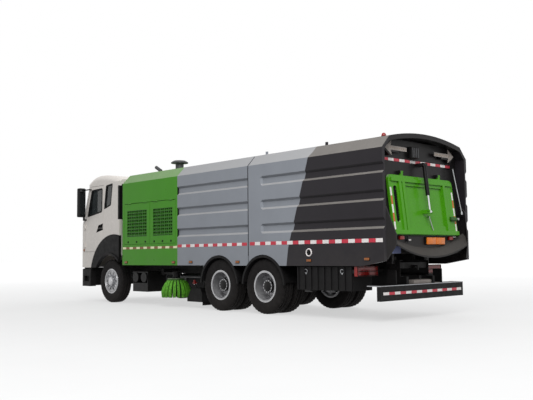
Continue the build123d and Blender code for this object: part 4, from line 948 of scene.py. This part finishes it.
def module_trim():
    """Dark nets in the louvres, painted as the shade behind them, and bars, catches and bolts of the module
    doors.
    """
    bolts = Shape()
    low_z, high_z = LOUVRES
    wire_y, catch_z, bar_margin = 1.242, 1.452, LOUVRE_MARGIN + 0.008
    bar_y, grip_y = (HALF_WIDTH - 0.024, HALF_WIDTH - 0.004), (HALF_WIDTH + 0.007, HALF_WIDTH + 0.013)
    for place, rear, front in MODULE_DOORS:
        field = (rear + bar_margin, front - bar_margin)
        for side, hand in HANDS:
            body = f"module_door_{place}_{hand}"
            net, bars, catch = shapes(3)
            # Dark sheet behind the louvres: painted shade
            net.side_box(side, (1.2392, 1.2408), (rear + LOUVRE_MARGIN, front - LOUVRE_MARGIN), LOUVRES)
            for x in shares(*field, 15):
                net.rod((x, side * wire_y, low_z + 0.003), (x, side * wire_y, high_z - 0.003), 0.002, sides=6)
            net.piece(f"louvre_net_{place}_{hand}", "dark_gap", body)
            for x in shares(*field, 5):
                bars.side_box(side, bar_y, span(x, 0.007), (low_z + 0.005, high_z - 0.005), 0.002)
            bars.piece(f"louvre_bars_{place}_{hand}", "louvre_green", body)
            for x in (rear + 0.16, (rear + front) / 2, front - 0.16):
                catch.stud(side, x, catch_z, HALF_WIDTH - SUNK, HALF_WIDTH + 0.008, 0.024, 0.022, 24)
                catch.side_box(side, grip_y, span(x, 0.018), span(catch_z, 0.005), 0.002)
            catch.piece(f"louvre_catches_{place}_{hand}", "trim_black", body)
            for i in range(7):
                x = rear + 0.05 + (front - rear - 0.10) * i / 6
                for z in (1.375, 2.395):
                    bolts.stud(side, x, z, HALF_WIDTH - SUNK, HALF_WIDTH + 0.004, 0.008, 0.006, 10)
    bolts.piece("module_bolts", "green_paint", "chassis")


def seam_gasket():
    """Dark seal in the seam between tank and hopper."""
    wall = HALF_WIDTH - 0.012
    outline = [(wall, SKIRT + 0.190), (wall, KNEE), (EDGE_Y, EDGE_Z - 0.012)]
    outline += [(0.5 * EDGE_Y, CROWN - 0.026), (0.0, CROWN - 0.012)]
    outline += [(-y, z) for y, z in outline[-2::-1]]
    shape = Shape()
    shape.loop(outline, 0.030, "X", SEAM + 0.009, SEAM + 0.031)
    shape.piece("seam_gasket", "trim_black", "chassis")


def channel_end_shade():
    """Dark plates in the joint between module and tank: painted shade, seen at the ends of the channels."""
    shape = Shape()
    ys, xs = (HALF_WIDTH - 0.060, HALF_WIDTH - 0.002), (TANK_FRONT - 0.006, TANK_FRONT - 0.001)
    for side in SIDES:
        shape.side_box(side, ys, xs, (SKIRT + 0.05, KNEE - 0.05), 0.001, 1)
    shape.piece("channel_end_shade", "trim_black", "chassis")


def cab_doors():
    """Window seal, handle and mirror face of each cab door."""
    for side, hand in HANDS:
        body = f"cab_door_{hand}"
        seal, glass, lever, pocket = shapes(4)
        ys = either(side, CAB_HALF - 0.030, CAB_HALF + 0.003)
        seal.loop(rounded(inset(DOOR_WINDOW, -0.012), 0.05), 0.034, "Y", *ys)
        seal.piece(f"window_seal_{hand}", "trim_black", body)
        lever.side_box(side, (CAB_HALF - 0.012, CAB_HALF + 0.006), (3.830, 4.060), (1.818, 1.838), 0.005)
        lever.piece(f"door_lever_{hand}", "trim_black", body)
        ys = either(side, CAB_HALF - 0.0305, CAB_HALF - 0.0270)
        pocket.prism(inset(HANDLE_POCKET, 0.002), "Y", *ys)
        ys = either(side, CAB_HALF - 0.0290, CAB_HALF + 0.002)
        pocket.loop(inset(HANDLE_POCKET, 0.001), 0.006, "Y", *ys)
        # The pocket's dark lining is painted shade in the recess
        pocket.piece(f"handle_pocket_{hand}", "dark_gap", body)
        near, far = either(side, CAB_HALF + 0.072, CAB_HALF + 0.225)
        face = rounded([(near, 2.165), (far, 2.165), (far, 2.835), (near, 2.835)], 0.03)
        glass.prism(face, "X", 4.548, 4.552)
        # The mirror's dark colour is a painted reflection of dark surroundings
        glass.piece(f"mirror_face_{hand}", "mirror_glass", body)


def cab_trim():
    """Rear window seals, side lamps, wipers, grille and roof lamps of the cab."""
    seal, lamp, wiper, grille, marks = shapes(5)
    for side in SIDES:
        ys = either(side, CAB_HALF - 0.026, CAB_HALF + 0.003)
        seal.loop(rounded(inset(QUARTER_WINDOW, -0.010), 0.04), 0.030, "Y", *ys)
        lamp.side_box(side, (CAB_HALF - SUNK, CAB_HALF + 0.016), (4.690, 4.740), (1.262, 1.330), 0.007, 3)
    seal.piece("quarter_seals", "trim_black", "cab")
    lamp.piece("cab_side_lamps", "amber_dull", "cab")
    for y in (0.52, -0.46):
        x, z = CAB_FRONT - 0.010, BELT + 0.045
        wiper.rod((x, y, z), on_screen(y - 0.30, 0.60, 0.004), 0.009, sides=10)
        wiper.rod((x - 0.03, y, z), (x + 0.012, y, z), 0.022)
        wiper.rod(on_screen(y - 0.20, 0.30, 0.006), on_screen(y - 0.38, 0.86, 0.006), 0.010, sides=8)
    wiper.piece("wipers", "trim_black", "cab")
    half, post_x = 0.776, (CAB_FRONT - 0.010, CAB_FRONT - 0.002)
    for row in range(8):
        base = 1.150 + row * 0.070
        grille.box((CAB_FRONT - 0.019, -half, base + 0.002), (CAB_FRONT - 0.006, half, base + 0.036), 0.003)
        for post in range(13):
            low_y, high_y = span(-0.75 + post * 0.125, 0.006)
            grille.box((post_x[0], low_y, base + 0.001), (post_x[1], high_y, base + 0.037), 0.001)
    # Dark slats in the grille openings are painted shade
    grille.piece("grille_fill", "dark_gap", "cab")
    for y in (-0.84, -0.42, 0.0, 0.42, 0.84):
        marks.box((4.510, y - 0.045, 2.985), (4.600, y + 0.045, 3.075), 0.016, 3)
    marks.piece("roof_lamps", "amber", "cab")


def cab_corners():
    """Dark plastic angles that cover the upper back corners of the cab."""
    shape = Shape()
    front, outside, inside = CAB_BACK + 0.055, CAB_BACK - 0.004, CAB_BACK + 0.001
    for side in SIDES:
        outer, skin, wall = side * (CAB_HALF + 0.004), side * (CAB_HALF - 0.001), side * (CAB_HALF - 0.220)
        outline = [(front, outer), (outside, outer), (outside, wall), (inside, wall), (inside, skin),
                   (front, skin)]
        shape.prism(outline, "Z", BELT + 0.060, BELT + 0.880)
    shape.piece("cab_corners", "trim_black", "cab")


def bumper_lip():
    """Rubber lip that closes the gap between the front bumper and the cab above it."""
    shape = Shape()
    foot, top, half = 0.8145, 0.8460, 0.015
    course = ((4.361, 1.200), (4.686, 1.200), (4.761, 1.170), (4.831, 1.090), (4.831, 0.500))
    for side in SIDES:
        for (ax, ay), (bx, by) in zip(course, course[1:]):
            length = math.hypot(bx - ax, by - ay)
            ox, oy = -half * (by - ay) / length, half * (bx - ax) / length
            quad = [(ax + ox, side * (ay + oy)), (bx + ox, side * (by + oy)),
                    (bx - ox, side * (by - oy)), (ax - ox, side * (ay - oy))]
            shape.prism(quad, "Z", foot, top)
    shape.box((4.816, -0.390, foot), (4.846, 0.390, 0.918), 0.004)
    shape.piece("bumper_lip", "tyre", "chassis")


def head_lamps():
    """Round lenses and bright rings of the head lamps."""
    shape, bowl = shapes(2)
    z = 0.650
    for side in SIDES:
        for y in (side * 0.72, side * 0.88):
            shape.rod((BUMPER_FRONT - 0.006, y, z), (BUMPER_FRONT + 0.002, y, z), 0.066, 0.058, 32)
            for radius in (0.072, 0.050):
                ring = [polar(y, z, radius, a) for a in turns(32)]
                bowl.loop(ring, 0.006, "X", BUMPER_FRONT - 0.008, BUMPER_FRONT + 0.004)
    shape.piece("head_lamp_lenses", "lamp_white", "chassis")
    bowl.piece("head_lamp_rings", "bolt_steel", "chassis")


def bristle(shape, centre, turn, depth):
    """One stiff strand that bows out from the plate and hangs towards the road."""
    sway = random.uniform(-0.004, 0.004)
    points = []
    for core_r, extra, z, thick in BRISTLE_COURSE:
        r = core_r + extra * depth + sway
        points.append((*polar(centre[0], centre[1], r, turn), z))
    x, y, z = points[-1]
    points[-1] = (x, y, z + random.uniform(-0.010, 0.012))
    shape.strand(points, [row[-1] for row in BRISTLE_COURSE])


def brushes():
    """Tufts of stiff strands that flare out under a plate, round a core of inner strands painted dark as the
    shade inside the brush.
    """
    for side, hand in HANDS:
        body = f"brush_{hand}"
        strands, core, plate = shapes(3)
        centre = (BRUSH_X, side * BRUSH_Y, 0.0)
        plate.lathe(centre, "Z", BRUSH_PLATE, 56)
        plate.piece(f"brush_plate_{hand}", "dark_green", body, "bristle_green")
        for middle in turns(TUFTS, 0.5):
            for count in range(TUFT_STRANDS):
                turn = middle + random.uniform(-0.098, 0.098)
                bristle(strands, centre, turn, random.uniform(0.55, 1.0))
        for count in range(CORE_STRANDS):
            bristle(core, centre, random.uniform(0.0, 2 * math.pi), random.uniform(0.0, 0.4))
        made = strands.piece(f"brush_strands_{hand}", "bristle_green", body)
        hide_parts(body)
        # Inner strands take a dark green that paints the shade inside the brush
        core.piece(f"brush_core_{hand}", "bristle_shade", body)


def nozzle_trim():
    """Levers, red valves and rubber flaps of the suction nozzle."""
    lever, knob, skirt = shapes(3)
    for side in SIDES:
        y = side * 0.900
        lever.rod((NOZZLE_X + 0.060, y, 0.418), (NOZZLE_X + 0.130, y, 0.530), 0.014)
        knob.rod((NOZZLE_X + 0.120, y, 0.500), (NOZZLE_X + 0.150, y, 0.585), 0.034, 0.022, 20)
        knob.rod((NOZZLE_X + 0.128, y - 0.05, 0.530), (NOZZLE_X + 0.128, y + 0.05, 0.530), 0.016)
    lever.piece("nozzle_levers", "trim_black", "suction_nozzle")
    # The valves take the red lamp lens, whose faint glow is painted light on a part that is no lamp
    knob.piece("nozzle_valves", "lens", "suction_nozzle")
    for count in range(40):
        y = -0.98 + count * 0.049
        skirt.box((0.164, y, 0.060), (0.172, y + 0.046, 0.180), 0.002, 1)
    skirt.piece("nozzle_flaps", "tyre", "suction_nozzle")


def camera():
    yaw, rise, roll = (math.radians(v) for v in (CAMERA_HEADING, CAMERA_RISE, CAMERA_ROLL))
    look = Vector((math.cos(rise) * math.cos(yaw), math.cos(rise) * math.sin(yaw), math.sin(rise)))
    right = look.cross(Vector((0, 0, 1))).normalized()
    up = right.cross(look)
    turned_right = math.cos(roll) * right + math.sin(roll) * up
    turned_up = math.cos(roll) * up - math.sin(roll) * right
    made = bpy.data.objects.new("camera", bpy.data.cameras.new("camera"))
    made.data.sensor_width = SENSOR
    made.data.lens = FOCAL_PIXELS * SENSOR / IMAGE_WIDTH
    made.data.clip_end = 500.0
    columns = (turned_right, turned_up, -look, CAMERA_AT)
    made.matrix_world = Matrix((*[[v[i] for v in columns] for i in range(3)], (0, 0, 0, 1)))
    bpy.context.scene.collection.objects.link(made)
    bpy.context.scene.camera = made


def plainly_seen(tree):
    """One for what the camera sees, by itself, in a mirror or through glass, and nothing for soft light."""
    rays = add(tree, "LightPath", {})
    seen = combine(tree, rays["Is Camera Ray"], rays["Is Transmission Ray"], "MAXIMUM")
    return combine(tree, seen, rays["Is Glossy Ray"], "MAXIMUM")


def stage():
    """Pale floor that keeps the truck's shadow."""
    shape = bmesh.new()
    bmesh.ops.create_circle(shape, cap_ends=True, segments=96, radius=FLOOR_RADIUS)
    mesh = bpy.data.meshes.new("floor")
    shape.to_mesh(mesh)
    shape.free()
    tree, shader = new_material("floor")
    tone = (FLOOR_TONE, FLOOR_TONE, FLOOR_TONE, 1.0)
    distance = tree.nodes.new("ShaderNodeVectorMath")
    distance.operation = "LENGTH"
    fill(distance, {0: coordinates(tree)})
    glow = range_map(tree, distance.outputs["Value"], 5.0, 26.0, FLOOR_GLOW_NEAR, FLOOR_GLOW_FAR)
    fill(shader, {
        "Base Color": mottled(tree, tone, 0.8, 0.97, 1.03, 4.0), "Roughness": 0.9,
        "Emission Color": WHITE, "Emission Strength": combine(tree, glow, plainly_seen(tree))})
    mesh.materials.append(MATERIALS["floor"])
    floor = bpy.data.objects.new("floor", mesh)
    bpy.context.scene.collection.objects.link(floor)


def world():
    """White backdrop, and soft light that comes mostly from overhead."""
    made = bpy.data.worlds.new("studio")
    made.use_nodes = True
    tree = made.node_tree
    tree.nodes.clear()
    rise = range_map(tree, axes(tree, "Generated")["Z"], 0.0, 1.0, SKY_LOW, SKY_HIGH)
    soft = add(tree, "Background", {"Color": SKY_TINT, "Strength": rise})["Background"]
    white = add(tree, "Background", {"Color": WHITE, "Strength": 1.0})["Background"]
    mix = add(tree, "MixShader", {"Fac": plainly_seen(tree), 1: soft, 2: white})
    add(tree, "OutputWorld", {"Surface": mix["Shader"]})
    bpy.context.scene.world = made


def lights():
    for name, place, power in LAMPS:
        data = bpy.data.lights.new(name, "AREA")
        data.size = LAMP_SIZE
        data.energy = power
        lamp = bpy.data.objects.new(name, data)
        lamp.location = place
        lamp.rotation_mode = "QUATERNION"
        lamp.rotation_quaternion = (LAMP_AIM - Vector(place)).to_track_quat("-Z", "Y")
        bpy.context.scene.collection.objects.link(lamp)


materials()
dress_nodes()
wheels()
hub_caps()
tapes()
arrow_boards()
rear_lamps()
rear_frame_trim()
door_trim()
bumper_trim()
side_markers()
module_trim()
seam_gasket()
channel_end_shade()
cab_doors()
cab_trim()
cab_corners()
bumper_lip()
head_lamps()
brushes()
nozzle_trim()
camera()
stage()
world()
lights()
bpy.context.scene.view_settings.view_transform = "Standard"
